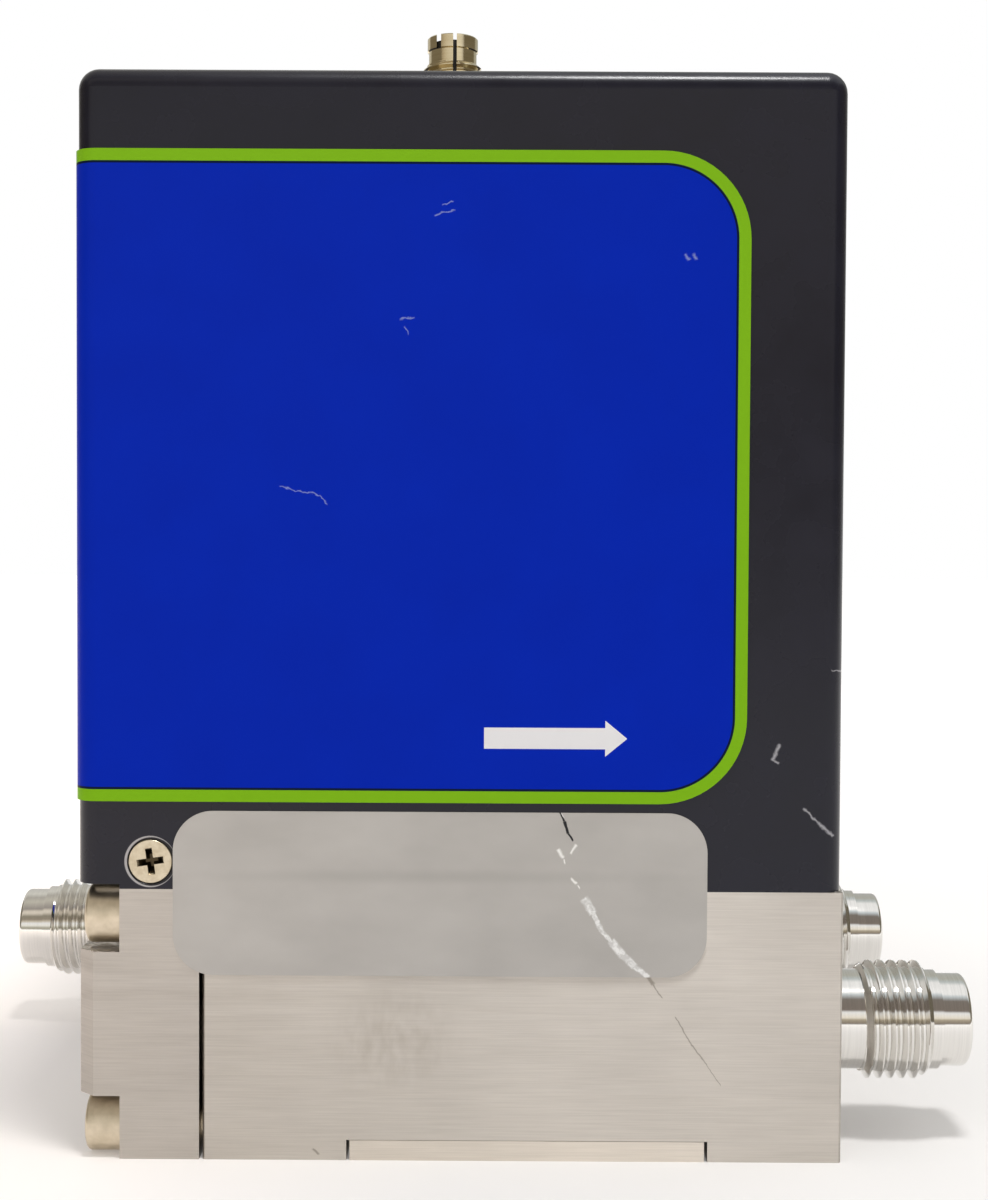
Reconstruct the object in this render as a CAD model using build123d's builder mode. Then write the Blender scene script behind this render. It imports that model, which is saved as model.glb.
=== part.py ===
from build123d import *
import os
from math import cos, radians, sin, tan

# Flow ratio controller: one gas inlet, two metered outlets.
# Millimetres. X runs with the flow, the front faces -Y, Z is up.
# The origin is in the middle of the underside.

# Blocks of the base
depth = 76.2
base_height = 31.75
block_length = 74.64
inlet_block_length = 14.22
seal_gap = 0.39
notch_reach = 4.93
notch_height = 7.4
lug_chamfer = 1.85
edge_break = 0.25

# Gas channels
axis_height = 13.7
channel_inset = 12.7
gas_bore_radius = 2.3
drop_bore_radius = 1.4
flow_bore_radius = 4.5
flow_bore_margin = 6.5

# General clearances
slip = 0.05
room = 0.3
screw_radius = 1.42
screw_head_radius = 2.6
screw_head_height = 1.8
flat_head_radius = 2.65
flat_head_angle = 90

total_length = inlet_block_length + seal_gap + block_length
x_right = total_length / 2
x_left = -total_length / 2
block_left = x_right - block_length
inlet_right = block_left - seal_gap
notch_wall = x_left + notch_reach
half_depth = depth / 2
flat_head_height = (flat_head_radius - screw_radius) / tan(radians(flat_head_angle / 2))
channel_offset = half_depth - channel_inset
channels = {"front": -channel_offset, "rear": channel_offset}

# Fittings with a flat face seal
thread_radius = 7.145
thread_length = 8.08
thread_chamfer = 0.6
neck_radius = 6.05
outlet_neck = 4.3
inlet_neck = 9.52
relief_length = 1.34
nose_radius = 5.63
nose_length = 3.63
nose_rounding = 0.6
bead_radius = 0.3
bead_circle = 3.9
spigot_radius = 4.75
spigot_depth = 2.5

# Screws of the inlet block, four round each channel
block_screw_radius = 2.08
block_screw_head_radius = 3.43
block_screw_head_height = 4.17
block_screw_length = 19.0
block_screw_rounding = 0.5
block_screw_edge = 3.5
block_screw_hex = 1.98
block_screw_hex_depth = 2.1

# Seals between the blocks
seal_outer_radius = 6.6
seal_inner_radius = 5.2
seal_pocket = 1.0

# Gallery across the inlet block
gallery_radius = 2.5
gallery_x = inlet_right - 5.6
plug_radius = 3.6
plug_depth = 5.0
plug_hex = 1.6
plug_hex_depth = 2.5

# Bar let into the underside
insert_inset_left = 17.215
insert_inset_right = 15.975
insert_thickness = 2.35
insert_gap = 0.38
insert_screw_inset = 6.0
insert_screw_length = 7.0

# Tapped holes for mounting, in the underside
mount_hole_radius = 1.75
mount_hole_depth = 7.0
mount_inset = 10.32
mount_spacing_y = 25.4

# Sensors: a bridge tube over each laminar element
tap_inset = 9.5
sensor_to_valve = 23.04
sensor_tube_radius = 0.5
sensor_tube_bend = 2.5
sensor_tube_rise = 16.0
sensor_tube_dip = 8.0
sensor_wall = 1.5
sensor_housing_height = 25.0
sensor_housing_width = 16.0
sensor_cavity_width = 8.0
sensor_foot_thickness = 3.0
sensor_foot_reach = 6.5
sensor_screw_inset = 3.5
sensor_screw_length = 9.0
winding_radius = 1.3
winding_gap = 1.0
winding_end_gap = 0.65

# Laminar flow elements
element_margin = 0.5
element_slots = 12
element_slot_depth = 0.6
element_slot_width = 0.5
element_waist = 0.8
element_land = 1.5

# Control valves
valve_inset = 18.1
pocket_radius = 7.0
pocket_depth = 6.0
seat_radius = 3.5
seat_depth = 1.5
seat_flange = 1.7
seat_height = 2.5
seat_lip_radius = 1.2
seat_taper = 45
orifice_radius = 0.6
return_offset = 5.3
valve_flange_length = 22.0
valve_flange_width = 16.0
valve_flange_thickness = 4.0
valve_spigot_depth = 2.0
valve_hub_radius = 6.8
valve_hub_height = 3.0
guide_radius = 5.0
guide_bore = 4.1
valve_screw_x = 8.2
valve_screw_y = 5.2
valve_screw_length = 9.0
yoke_height = 30.0
yoke_thickness = 2.0
coil_radius = 8.6
coil_clear = 0.15
plunger_radius = 4.0
plunger_tip_radius = 2.2
plunger_tip_height = 2.25
plunger_length = 24.25
plunger_pocket_depth = 8.0
plunger_travel = 0.5
plunger_reserve = 0.3
spring_wire = 0.25
spring_radius = 1.7
spring_turns = 5
spring_pocket_clear = 0.25
pole_collar = 1.5
stud_radius = 2.5
stud_over = 0.6
valve_nut_radius = 4.6
valve_nut_height = 3.0

# Sheet chassis on the blocks
sheet = 1.5
chassis_clear = 0.35
flange_height = 8.0
bend_radius = 1.7
tab_width = 8.0
tab_height = 14.0
tab_thickness = 1.2
tab_inset = 9.0
tab_screw_height = 9.0
chassis_screw_y = 8.0
chassis_screw_length = 6.0
chassis_screw_left = 11.5
chassis_screw_right = 7.0
press_nut_radius = 2.9
press_nut_length = 1.3

# Cover
cover_top = 127.0
cover_wall = 1.2
cover_rounding = 2.5
cover_overhang_left = 0.16
cover_setback_right = 0.08
cover_relief = 0.55
cover_screw_x = 8.52
cover_screw_z = 3.22
cover_screw_length = 4.2
cross_width = 0.8
cross_length = 3.2
cross_depth = 0.9

# Label and seal on the cover
film_gap = 0.02
label_thickness = 0.28
label_margin_right = 11.375
label_margin_bottom = 10.28
label_margin_top = 9.62
label_rounding = 10.1
label_rear_margin = 9.0
seal_overlap = 3.435
seal_length = 62.2
seal_drop = 10.0
seal_height = 19.2
seal_rounding = 4.7
seal_thickness = 0.12

# Round connector on the top
plug_x = -2.3
plug_y = 0.0
plug_height = 13.73
lip_radius = 3.42
lip_height = 1.9
plug_neck_radius = 3.23
plug_neck_height = 1.7
plug_thread_radius = 4.0
plug_bore_radius = 2.75
plug_collar_radius = 5.6
plug_collar_height = 2.2
plug_below = 7.0
plug_nut_radius = 6.2
plug_nut_height = 2.5
key_width = 0.5
key_offset = 0.37
key_depth = 9.0
lip_slot_width = 0.6
lip_slot_offset = -1.8
contact_radius = 0.5
contact_circle = 1.45
contact_count = 5
contact_recess = 0.7
contact_tail = 1.5
contact_mouth_radius = 0.3
contact_mouth_depth = 3.0

# Signal connector on the top, with two rows of pins
io_x = 0.0
io_inset = 18.1
io_flange_length = 39.2
io_flange_width = 12.5
io_flange_thickness = 1.0
io_shell_clear = 1.4
io_shell_width = 8.36
io_shell_height = 5.6
io_shell_wall = 0.4
io_shell_rounding = 2.2
io_shell_angle = 80
io_cutout_clear = 0.4
io_body_clear = 1.23
io_body_width = 10.8
io_floor_height = 1.3
io_pin_radius = 0.5
io_pin_height = 4.4
io_pin_edge = 2.805
io_row_pitch = 2.84
io_long_row = 8
io_short_row = 7
jack_edge = 2.95
jack_radius = 2.75
jack_height = 5.0
jack_stud_length = 4.5
jack_bore_radius = 1.13
jack_bore_depth = 3.5

# Boards
board_thickness = 1.6
board_clear = 1.0
board_drop = 9.8
main_board_inset = 3.0
main_board_lift = 1.5
board_spacing = 8.0
header_inset = 24.625
header_length = 24.0
header_width = 6.0
header_bite = 4.0
standoff_radius = 2.25
standoff_left = 5.5
standoff_right = 2.85
standoff_y_inset = 8.5
standoff_stud = 1.2
board_screw_length = 5.0
chip_height = 1.8
chip_size = 10.0
chip_pitch_x = 19.0
chip_pitch_z = 17.0
chip_columns = 3
chip_rows = 2

# Places that follow from the sizes above
cover_left = x_left - cover_overhang_left
cover_right = x_right - cover_setback_right
cover_length = cover_right - cover_left
cover_middle = (cover_left + cover_right) / 2
inside_left = cover_left + cover_wall
inside_right = cover_right - cover_wall
inside_half = half_depth - cover_wall
inside_top = cover_top - cover_wall
chassis_left = inside_left + chassis_clear
chassis_right = inside_right - chassis_clear
chassis_half = inside_half - chassis_clear
sheet_top = base_height + sheet
label_right = cover_right - label_margin_right
label_bottom = base_height + label_margin_bottom
label_top = cover_top - label_margin_top
seal_left = block_left - seal_overlap
seal_bottom = base_height - seal_drop

valve_x = x_right - valve_inset
sensor_first = block_left + tap_inset
sensor_last = valve_x - sensor_to_valve
sensor_span = sensor_last - sensor_first
sensor_x = (sensor_first + sensor_last) / 2
winding_run = sensor_span - 2 * (sensor_tube_bend + winding_end_gap)
winding_length = (winding_run - winding_gap) / 2
winding_spacing = winding_length + winding_gap
sensor_housing_length = sensor_span + 2 * (sensor_tube_radius + sensor_wall + room)
sensor_foot_length = sensor_housing_length + 2 * sensor_foot_reach
sensor_screw_x = sensor_foot_length / 2 - sensor_screw_inset
flow_bore_depth = tap_inset + sensor_span - flow_bore_margin
element_right = block_left + flow_bore_depth
element_left = sensor_first + element_margin
element_length = element_right - element_left

pocket_floor = base_height - pocket_depth
seat_bottom = pocket_floor - seat_depth
seat_top = seat_bottom + seat_height
seat_cone_height = seat_height - seat_flange
seat_cone_radius = seat_lip_radius + seat_cone_height * tan(radians(seat_taper))
valve_flange_top = base_height + valve_flange_thickness
hub_top = valve_flange_top + valve_hub_height
yoke_top = hub_top + yoke_height
coil_bottom = hub_top + yoke_thickness
pole_top = yoke_top - yoke_thickness
plunger_top = seat_top + plunger_length
pole_bottom = plunger_top + plunger_travel + plunger_reserve
spring_floor = plunger_top - plunger_pocket_depth

mount_hole_x = (block_left + x_right) / 2
mount_spacing_x = block_length - 2 * mount_inset
block_screw_y = half_depth - block_screw_edge
block_screw_inner = 2 * channel_offset - block_screw_y
block_screw_places = [
    (side * y, z)
    for side in (-1, 1)
    for y in (block_screw_y, block_screw_inner)
    for z in (block_screw_edge, base_height - block_screw_edge)
]
insert_left = block_left + insert_inset_left
insert_right = x_right - insert_inset_right
insert_length = insert_right - insert_left
insert_middle = (insert_left + insert_right) / 2
insert_screws = [
    (x, y)
    for x in (insert_left + insert_screw_inset, insert_right - insert_screw_inset)
    for y in (insert_screw_inset - half_depth, half_depth - insert_screw_inset)
]
chassis_screw_places = [
    (x, y)
    for x in (block_left + chassis_screw_left, x_right - chassis_screw_right)
    for y in (-chassis_screw_y, chassis_screw_y)
]
board_z = inside_top - board_drop
main_board_top = board_z - board_spacing
header_x = x_right - header_inset
tab_places = [inside_left + tab_inset, inside_right - tab_inset]
tab_front = board_thickness / 2
standoff_places = [
    (x, y)
    for x in (inside_left + standoff_left, inside_right - standoff_right)
    for y in (standoff_y_inset - inside_half, inside_half - standoff_y_inset)
]
cover_screw_height = base_height + cover_screw_z
cover_screw_places = {-1: x_left + cover_screw_x, 1: x_right - cover_screw_x}
contact_places = [
    (
        plug_x + contact_circle * cos(radians(360 / contact_count * turn)),
        plug_y + contact_circle * sin(radians(360 / contact_count * turn)),
    )
    for turn in range(contact_count)
]
io_y = half_depth - io_inset
jack_spacing = io_flange_length - 2 * jack_edge
io_shell_length = jack_spacing - 2 * (jack_radius + io_shell_clear)
io_body_length = jack_spacing - 2 * (screw_radius + io_body_clear)
io_pin_pitch = (io_shell_length - 2 * io_pin_edge) / (io_long_row - 1)
io_pin_places = [
    (io_x + (place - (io_long_row - 1) / 2) * io_pin_pitch, io_y + io_row_pitch / 2)
    for place in range(io_long_row)
] + [
    (io_x + (place - (io_short_row - 1) / 2) * io_pin_pitch, io_y - io_row_pitch / 2)
    for place in range(io_short_row)
]
jack_places = [(io_x - jack_spacing / 2, io_y), (io_x + jack_spacing / 2, io_y)]


def save(part, name):
    part.label = name
    export_step(part, "parts/" + name + ".step")


os.makedirs("parts", exist_ok=True)

# Base block: machined from bar, with both gas channels and the valve pockets
with BuildPart() as base_block:
    with BuildSketch():
        with Locations(((block_left + x_right) / 2, 0)):
            Rectangle(block_length, depth)
    extrude(amount=base_height)
    chamfer(base_block.edges().filter_by(Axis.Z), length=edge_break)
    with BuildSketch():
        with Locations((insert_middle, 0)):
            Rectangle(insert_length + 2 * insert_gap, depth)
    extrude(amount=insert_thickness + slip, mode=Mode.SUBTRACT)
    for y_axis in channels.values():
        with BuildSketch(Plane.YZ.offset(block_left)):
            with Locations((y_axis, axis_height)):
                Circle(seal_outer_radius + slip)
        extrude(amount=seal_pocket, mode=Mode.SUBTRACT)
        with BuildSketch(Plane.YZ.offset(block_left)):
            with Locations((y_axis, axis_height)):
                Circle(flow_bore_radius)
        extrude(amount=flow_bore_depth, mode=Mode.SUBTRACT)
        with BuildSketch(Plane.YZ.offset(block_left)):
            with Locations((y_axis, axis_height)):
                Circle(gas_bore_radius)
        extrude(amount=valve_x + drop_bore_radius - block_left, mode=Mode.SUBTRACT)
        with BuildSketch(Plane.YZ.offset(x_right)):
            with Locations((y_axis, axis_height)):
                Circle(spigot_radius + slip)
        extrude(amount=-spigot_depth, mode=Mode.SUBTRACT)
        with BuildSketch(Plane.YZ.offset(x_right)):
            with Locations((y_axis, axis_height)):
                Circle(gas_bore_radius)
        extrude(amount=valve_x + return_offset - drop_bore_radius - x_right, mode=Mode.SUBTRACT)
        with BuildSketch(Plane.XY.offset(base_height)):
            with Locations((valve_x, y_axis)):
                Circle(pocket_radius)
        extrude(amount=-pocket_depth, mode=Mode.SUBTRACT)
        with BuildSketch(Plane.XY.offset(pocket_floor)):
            with Locations((valve_x, y_axis)):
                Circle(seat_radius + slip)
        extrude(amount=-seat_depth, mode=Mode.SUBTRACT)
        with BuildSketch(Plane.XY.offset(pocket_floor)):
            with Locations((valve_x, y_axis), (valve_x + return_offset, y_axis)):
                Circle(drop_bore_radius)
        extrude(amount=axis_height - pocket_floor, mode=Mode.SUBTRACT)
        with BuildSketch(Plane.XY.offset(base_height)):
            with Locations((sensor_first, y_axis), (sensor_last, y_axis)):
                Circle(sensor_tube_radius + slip)
        extrude(amount=axis_height - base_height, mode=Mode.SUBTRACT)
        with BuildSketch(Plane.XY.offset(base_height)):
            with Locations((sensor_x - sensor_screw_x, y_axis), (sensor_x + sensor_screw_x, y_axis)):
                Circle(screw_radius + slip)
        extrude(amount=sensor_foot_thickness - sensor_screw_length, mode=Mode.SUBTRACT)
        with BuildSketch(Plane.XY.offset(base_height)):
            with Locations((valve_x, y_axis)):
                with GridLocations(2 * valve_screw_x, 2 * valve_screw_y, 2, 2):
                    Circle(screw_radius + slip)
        extrude(amount=valve_flange_thickness - valve_screw_length, mode=Mode.SUBTRACT)
    with BuildSketch(Plane.YZ.offset(block_left)):
        with Locations(*block_screw_places):
            Circle(block_screw_radius + slip)
    extrude(amount=notch_wall + block_screw_length - block_left, mode=Mode.SUBTRACT)
    with BuildSketch(Plane.XY.offset(base_height)):
        with Locations(*chassis_screw_places):
            Circle(screw_radius + slip)
    extrude(amount=sheet - chassis_screw_length, mode=Mode.SUBTRACT)
    with BuildSketch(Plane.XY.offset(insert_thickness)):
        with Locations(*insert_screws):
            Circle(screw_radius + slip)
    extrude(amount=insert_screw_length - insert_thickness, mode=Mode.SUBTRACT)
    with BuildSketch():
        with Locations((mount_hole_x, 0)):
            with GridLocations(mount_spacing_x, mount_spacing_y, 2, 2):
                Circle(mount_hole_radius)
    extrude(amount=mount_hole_depth, mode=Mode.SUBTRACT)
save(base_block.part, "base_block")

# Inlet block: a lug between two notches that take the screw heads
with BuildPart() as inlet_block:
    with BuildSketch(Plane.XZ):
        with BuildLine():
            Polyline(
                (x_left, notch_height),
                (x_left, base_height - notch_height),
                (notch_wall, base_height - notch_height),
                (notch_wall, base_height),
                (inlet_right, base_height),
                (inlet_right, 0),
                (notch_wall, 0),
                (notch_wall, notch_height),
                close=True,
            )
        make_face()
    extrude(amount=half_depth, both=True)
    chamfer(inlet_block.edges().filter_by(Axis.Z).group_by(Axis.X)[0], length=lug_chamfer)
    with BuildSketch(Plane.YZ.offset(x_left)):
        with Locations((channel_offset, axis_height)):
            Circle(spigot_radius + slip)
    extrude(amount=spigot_depth, mode=Mode.SUBTRACT)
    with BuildSketch(Plane.YZ.offset(x_left)):
        with Locations((channel_offset, axis_height)):
            Circle(gas_bore_radius)
    extrude(amount=gallery_x - x_left, mode=Mode.SUBTRACT)
    with BuildSketch(Plane.XZ.offset(-half_depth)):
        with Locations((gallery_x, axis_height)):
            Circle(gallery_radius)
    extrude(amount=half_depth + channel_offset + gallery_radius, mode=Mode.SUBTRACT)
    with BuildSketch(Plane.XZ.offset(-half_depth)):
        with Locations((gallery_x, axis_height)):
            Circle(plug_radius + slip)
    extrude(amount=plug_depth, mode=Mode.SUBTRACT)
    with BuildSketch(Plane.YZ.offset(inlet_right)):
        with Locations(*[(y, axis_height) for y in channels.values()]):
            Circle(seal_outer_radius + slip)
    extrude(amount=-seal_pocket, mode=Mode.SUBTRACT)
    with BuildSketch(Plane.YZ.offset(inlet_right)):
        with Locations(*[(y, axis_height) for y in channels.values()]):
            Circle(gas_bore_radius)
    extrude(amount=gallery_x - inlet_right, mode=Mode.SUBTRACT)
    with BuildSketch(Plane.YZ.offset(notch_wall)):
        with Locations(*block_screw_places):
            Circle(block_screw_radius + slip)
    extrude(amount=inlet_right - notch_wall, mode=Mode.SUBTRACT)
save(inlet_block.part, "inlet_block")

# Socket-head screws of the inlet block
with BuildPart() as inlet_block_screws:
    with BuildSketch(Plane.YZ.offset(notch_wall)):
        with Locations(*block_screw_places):
            Circle(block_screw_head_radius)
    extrude(amount=-block_screw_head_height)
    fillet(
        inlet_block_screws.edges().filter_by(GeomType.CIRCLE).group_by(Axis.X)[0],
        radius=block_screw_rounding,
    )
    with BuildSketch(Plane.YZ.offset(notch_wall - block_screw_head_height)):
        with Locations(*block_screw_places):
            RegularPolygon(radius=block_screw_hex, side_count=6, major_radius=False)
    extrude(amount=block_screw_hex_depth, mode=Mode.SUBTRACT)
    with BuildSketch(Plane.YZ.offset(notch_wall)):
        with Locations(*block_screw_places):
            Circle(block_screw_radius)
    extrude(amount=block_screw_length)
save(inlet_block_screws.part, "inlet_block_screws")

# Metal ring seals in the pockets of both blocks
with BuildPart() as block_seals:
    with BuildSketch(Plane.YZ.offset(inlet_right - seal_pocket)):
        with Locations(*[(y, axis_height) for y in channels.values()]):
            Circle(seal_outer_radius)
            Circle(seal_inner_radius, mode=Mode.SUBTRACT)
    extrude(amount=seal_gap + 2 * seal_pocket)
save(block_seals.part, "block_seals")


def face_seal_fitting(x_face, y_axis, direction, neck_length):
    """Turned fitting: spigot, neck, thread at its major diameter, relief and nose with a sealing bead."""
    thread_end = neck_length + thread_length
    nose_start = thread_end + relief_length
    nose_end = nose_start + nose_length
    plane = Plane(
        origin=(x_face, y_axis, axis_height),
        x_dir=(direction, 0, 0),
        z_dir=(0, -direction, 0),
    )
    with BuildPart() as fitting:
        with BuildSketch(plane):
            with BuildLine():
                Polyline(
                    (nose_end, bead_circle - bead_radius),
                    (nose_end, gas_bore_radius),
                    (-spigot_depth, gas_bore_radius),
                    (-spigot_depth, spigot_radius),
                    (0, spigot_radius),
                    (0, neck_radius),
                    (neck_length, neck_radius),
                    (neck_length + thread_chamfer, thread_radius),
                    (thread_end - thread_chamfer, thread_radius),
                    (thread_end, neck_radius),
                    (nose_start, neck_radius),
                    (nose_start, nose_radius),
                    (nose_end - nose_rounding, nose_radius),
                )
                RadiusArc(
                    (nose_end - nose_rounding, nose_radius),
                    (nose_end, nose_radius - nose_rounding),
                    nose_rounding,
                )
                Line((nose_end, nose_radius - nose_rounding), (nose_end, bead_circle + bead_radius))
                ThreePointArc(
                    (nose_end, bead_circle + bead_radius),
                    (nose_end + bead_radius, bead_circle),
                    (nose_end, bead_circle - bead_radius),
                )
            make_face()
        revolve(axis=Axis((x_face, y_axis, axis_height), (1, 0, 0)))
    return fitting.part


save(face_seal_fitting(x_left, channel_offset, -1, inlet_neck), "inlet_fitting")
for side, y_axis in channels.items():
    save(face_seal_fitting(x_right, y_axis, 1, outlet_neck), side + "_outlet_fitting")

# Plug that closes the drilled end of the gallery
with BuildPart() as gallery_plug:
    with BuildSketch(Plane.XZ.offset(-half_depth)):
        with Locations((gallery_x, axis_height)):
            Circle(plug_radius)
    extrude(amount=plug_depth)
    with BuildSketch(Plane.XZ.offset(-half_depth)):
        with Locations((gallery_x, axis_height)):
            RegularPolygon(radius=plug_hex, side_count=6, major_radius=False)
    extrude(amount=plug_hex_depth, mode=Mode.SUBTRACT)
save(gallery_plug.part, "gallery_plug")

# Bar let into the underside, and its flat-head screws
with BuildPart() as bottom_insert:
    with BuildSketch():
        with Locations((insert_middle, 0)):
            Rectangle(insert_length, depth)
    extrude(amount=insert_thickness)
    with Locations(*[(x, y, 0) for x, y in insert_screws]):
        with Locations(Rotation(180, 0, 0)):
            CounterSinkHole(
                radius=screw_radius + slip,
                counter_sink_radius=flat_head_radius + slip,
                depth=insert_thickness,
                counter_sink_angle=flat_head_angle,
            )
save(bottom_insert.part, "bottom_insert")

with BuildPart() as bottom_screws:
    with BuildSketch():
        with Locations(*insert_screws):
            Circle(flat_head_radius)
    extrude(amount=flat_head_height, taper=flat_head_angle / 2)
    with BuildSketch():
        with Locations(*insert_screws):
            Circle(screw_radius)
    extrude(amount=insert_screw_length)
    with BuildSketch():
        with Locations(*insert_screws):
            Rectangle(cross_length, cross_width)
            Rectangle(cross_width, cross_length)
    extrude(amount=cross_depth, mode=Mode.SUBTRACT)
save(bottom_screws.part, "bottom_screws")

for side, y_axis in channels.items():
    # Laminar flow element: slotted lands round a waisted core
    with BuildPart() as flow_element:
        with BuildSketch(Plane.YZ.offset(element_left)):
            with Locations((y_axis, axis_height)):
                Circle(flow_bore_radius - slip)
                Circle(orifice_radius, mode=Mode.SUBTRACT)
        extrude(amount=element_length)
        with BuildSketch(Plane.YZ.offset(element_left + element_land)):
            with Locations((y_axis, axis_height)):
                Circle(flow_bore_radius + slip)
                Circle(flow_bore_radius - element_waist, mode=Mode.SUBTRACT)
        extrude(amount=element_length - 2 * element_land, mode=Mode.SUBTRACT)
        with BuildSketch(Plane.YZ.offset(element_left)):
            with Locations((y_axis, axis_height)):
                with PolarLocations(flow_bore_radius, element_slots):
                    Rectangle(2 * element_slot_depth, element_slot_width)
        extrude(amount=element_length, mode=Mode.SUBTRACT)
    save(flow_element.part, side + "_flow_element")

    # Sensor housing: a block over the bridge tube, open below
    with BuildPart() as sensor_housing:
        with BuildSketch(Plane.XY.offset(base_height)):
            with Locations((sensor_x, y_axis)):
                Rectangle(sensor_foot_length, sensor_housing_width)
        extrude(amount=sensor_foot_thickness)
        with BuildSketch(Plane.XY.offset(base_height)):
            with Locations((sensor_x, y_axis)):
                Rectangle(sensor_housing_length, sensor_housing_width)
        extrude(amount=sensor_housing_height)
        fillet(
            sensor_housing.edges().group_by(Axis.Z)[-1].filter_by(Axis.Y),
            radius=sensor_wall,
        )
        with BuildSketch(Plane.XY.offset(base_height)):
            with Locations((sensor_x, y_axis)):
                Rectangle(sensor_housing_length - 2 * sensor_wall, sensor_cavity_width)
        extrude(amount=sensor_tube_rise + winding_radius + sensor_wall, mode=Mode.SUBTRACT)
        with BuildSketch(Plane.XY.offset(base_height)):
            with Locations((sensor_x - sensor_screw_x, y_axis), (sensor_x + sensor_screw_x, y_axis)):
                Circle(screw_radius + slip)
        extrude(amount=sensor_foot_thickness, mode=Mode.SUBTRACT)
    save(sensor_housing.part, side + "_sensor_housing")

    # Sensor tube: a thin bridge from one tap to the other
    with BuildPart() as sensor_tube:
        with BuildLine(Plane.XZ.offset(-y_axis)) as bridge:
            FilletPolyline(
                (sensor_first, base_height - sensor_tube_dip),
                (sensor_first, base_height + sensor_tube_rise),
                (sensor_last, base_height + sensor_tube_rise),
                (sensor_last, base_height - sensor_tube_dip),
                radius=sensor_tube_bend,
            )
        with BuildSketch(Plane.XY.offset(base_height - sensor_tube_dip)):
            with Locations((sensor_first, y_axis)):
                Circle(sensor_tube_radius)
        sweep(path=bridge.line)
    save(sensor_tube.part, side + "_sensor_tube")

    # Orifice seat pressed into the floor of the valve pocket
    with BuildPart() as orifice_seat:
        with BuildSketch(Plane.XY.offset(seat_bottom)):
            with Locations((valve_x, y_axis)):
                Circle(seat_radius)
        extrude(amount=seat_flange)
        with BuildSketch(Plane.XY.offset(seat_bottom + seat_flange)):
            with Locations((valve_x, y_axis)):
                Circle(seat_cone_radius)
        extrude(amount=seat_cone_height, taper=seat_taper)
        with BuildSketch(Plane.XY.offset(seat_bottom)):
            with Locations((valve_x, y_axis)):
                Circle(orifice_radius)
        extrude(amount=seat_height, mode=Mode.SUBTRACT)
    save(orifice_seat.part, side + "_orifice_seat")

    # Valve body: flange, hub and the thin guide tube in one turned piece
    with BuildPart() as valve_body:
        with BuildSketch(Plane.XY.offset(base_height)):
            with Locations((valve_x, y_axis)):
                Rectangle(valve_flange_length, valve_flange_width)
        extrude(amount=valve_flange_thickness)
        with BuildSketch(Plane.XY.offset(base_height)):
            with Locations((valve_x, y_axis)):
                Circle(pocket_radius - slip)
        extrude(amount=-valve_spigot_depth)
        with BuildSketch(Plane.XY.offset(valve_flange_top)):
            with Locations((valve_x, y_axis)):
                Circle(valve_hub_radius)
        extrude(amount=valve_hub_height)
        with BuildSketch(Plane.XY.offset(hub_top)):
            with Locations((valve_x, y_axis)):
                Circle(guide_radius)
        extrude(amount=pole_top - pole_collar - hub_top)
        with BuildSketch(Plane.XY.offset(base_height - valve_spigot_depth)):
            with Locations((valve_x, y_axis)):
                Circle(guide_bore)
        extrude(amount=pole_top - base_height + valve_spigot_depth, mode=Mode.SUBTRACT)
        with BuildSketch(Plane.XY.offset(base_height)):
            with Locations((valve_x, y_axis)):
                with GridLocations(2 * valve_screw_x, 2 * valve_screw_y, 2, 2):
                    Circle(screw_radius + slip)
        extrude(amount=valve_flange_thickness, mode=Mode.SUBTRACT)
    save(valve_body.part, side + "_valve_body")

    # Plunger that lifts off the seat, with a pocket for its spring
    with BuildPart() as valve_plunger:
        with BuildSketch(Plane.XY.offset(seat_top)):
            with Locations((valve_x, y_axis)):
                Circle(plunger_tip_radius)
        extrude(amount=plunger_tip_height)
        with BuildSketch(Plane.XY.offset(seat_top + plunger_tip_height)):
            with Locations((valve_x, y_axis)):
                Circle(plunger_radius)
        extrude(amount=plunger_length - plunger_tip_height)
        with BuildSketch(Plane.XY.offset(spring_floor)):
            with Locations((valve_x, y_axis)):
                Circle(spring_radius + spring_wire + spring_pocket_clear)
        extrude(amount=plunger_pocket_depth, mode=Mode.SUBTRACT)
    save(valve_plunger.part, side + "_valve_plunger")

    # Return spring between the plunger's pocket and the pole piece
    with BuildPart() as valve_spring:
        spring_bottom = spring_floor + spring_wire + slip
        spring_height = pole_bottom - spring_wire - slip - spring_bottom
        with BuildLine() as coil_path:
            Helix(
                pitch=spring_height / spring_turns,
                height=spring_height,
                radius=spring_radius,
                center=(valve_x, y_axis, spring_bottom),
            )
        with BuildSketch(Plane(coil_path.line @ 0, z_dir=coil_path.line % 0)):
            Circle(spring_wire)
        sweep(path=coil_path.line, is_frenet=True)
    save(valve_spring.part, side + "_valve_spring")

    # Fixed pole piece that closes the guide tube, with its stud
    with BuildPart() as pole_piece:
        with BuildSketch(Plane.XY.offset(pole_bottom)):
            with Locations((valve_x, y_axis)):
                Circle(guide_bore - slip)
        extrude(amount=pole_top - pole_bottom)
        with BuildSketch(Plane.XY.offset(pole_top - pole_collar)):
            with Locations((valve_x, y_axis)):
                Circle(guide_radius)
        extrude(amount=pole_collar)
        with BuildSketch(Plane.XY.offset(pole_top)):
            with Locations((valve_x, y_axis)):
                Circle(stud_radius)
        extrude(amount=yoke_thickness + valve_nut_height + stud_over)
    save(pole_piece.part, side + "_pole_piece")

    # Coil wound on its bobbin
    with BuildPart() as valve_coil:
        with BuildSketch(Plane.XY.offset(coil_bottom)):
            with Locations((valve_x, y_axis)):
                Circle(coil_radius)
                Circle(guide_radius + coil_clear, mode=Mode.SUBTRACT)
        extrude(amount=pole_top - coil_bottom)
    save(valve_coil.part, side + "_valve_coil")

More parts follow.
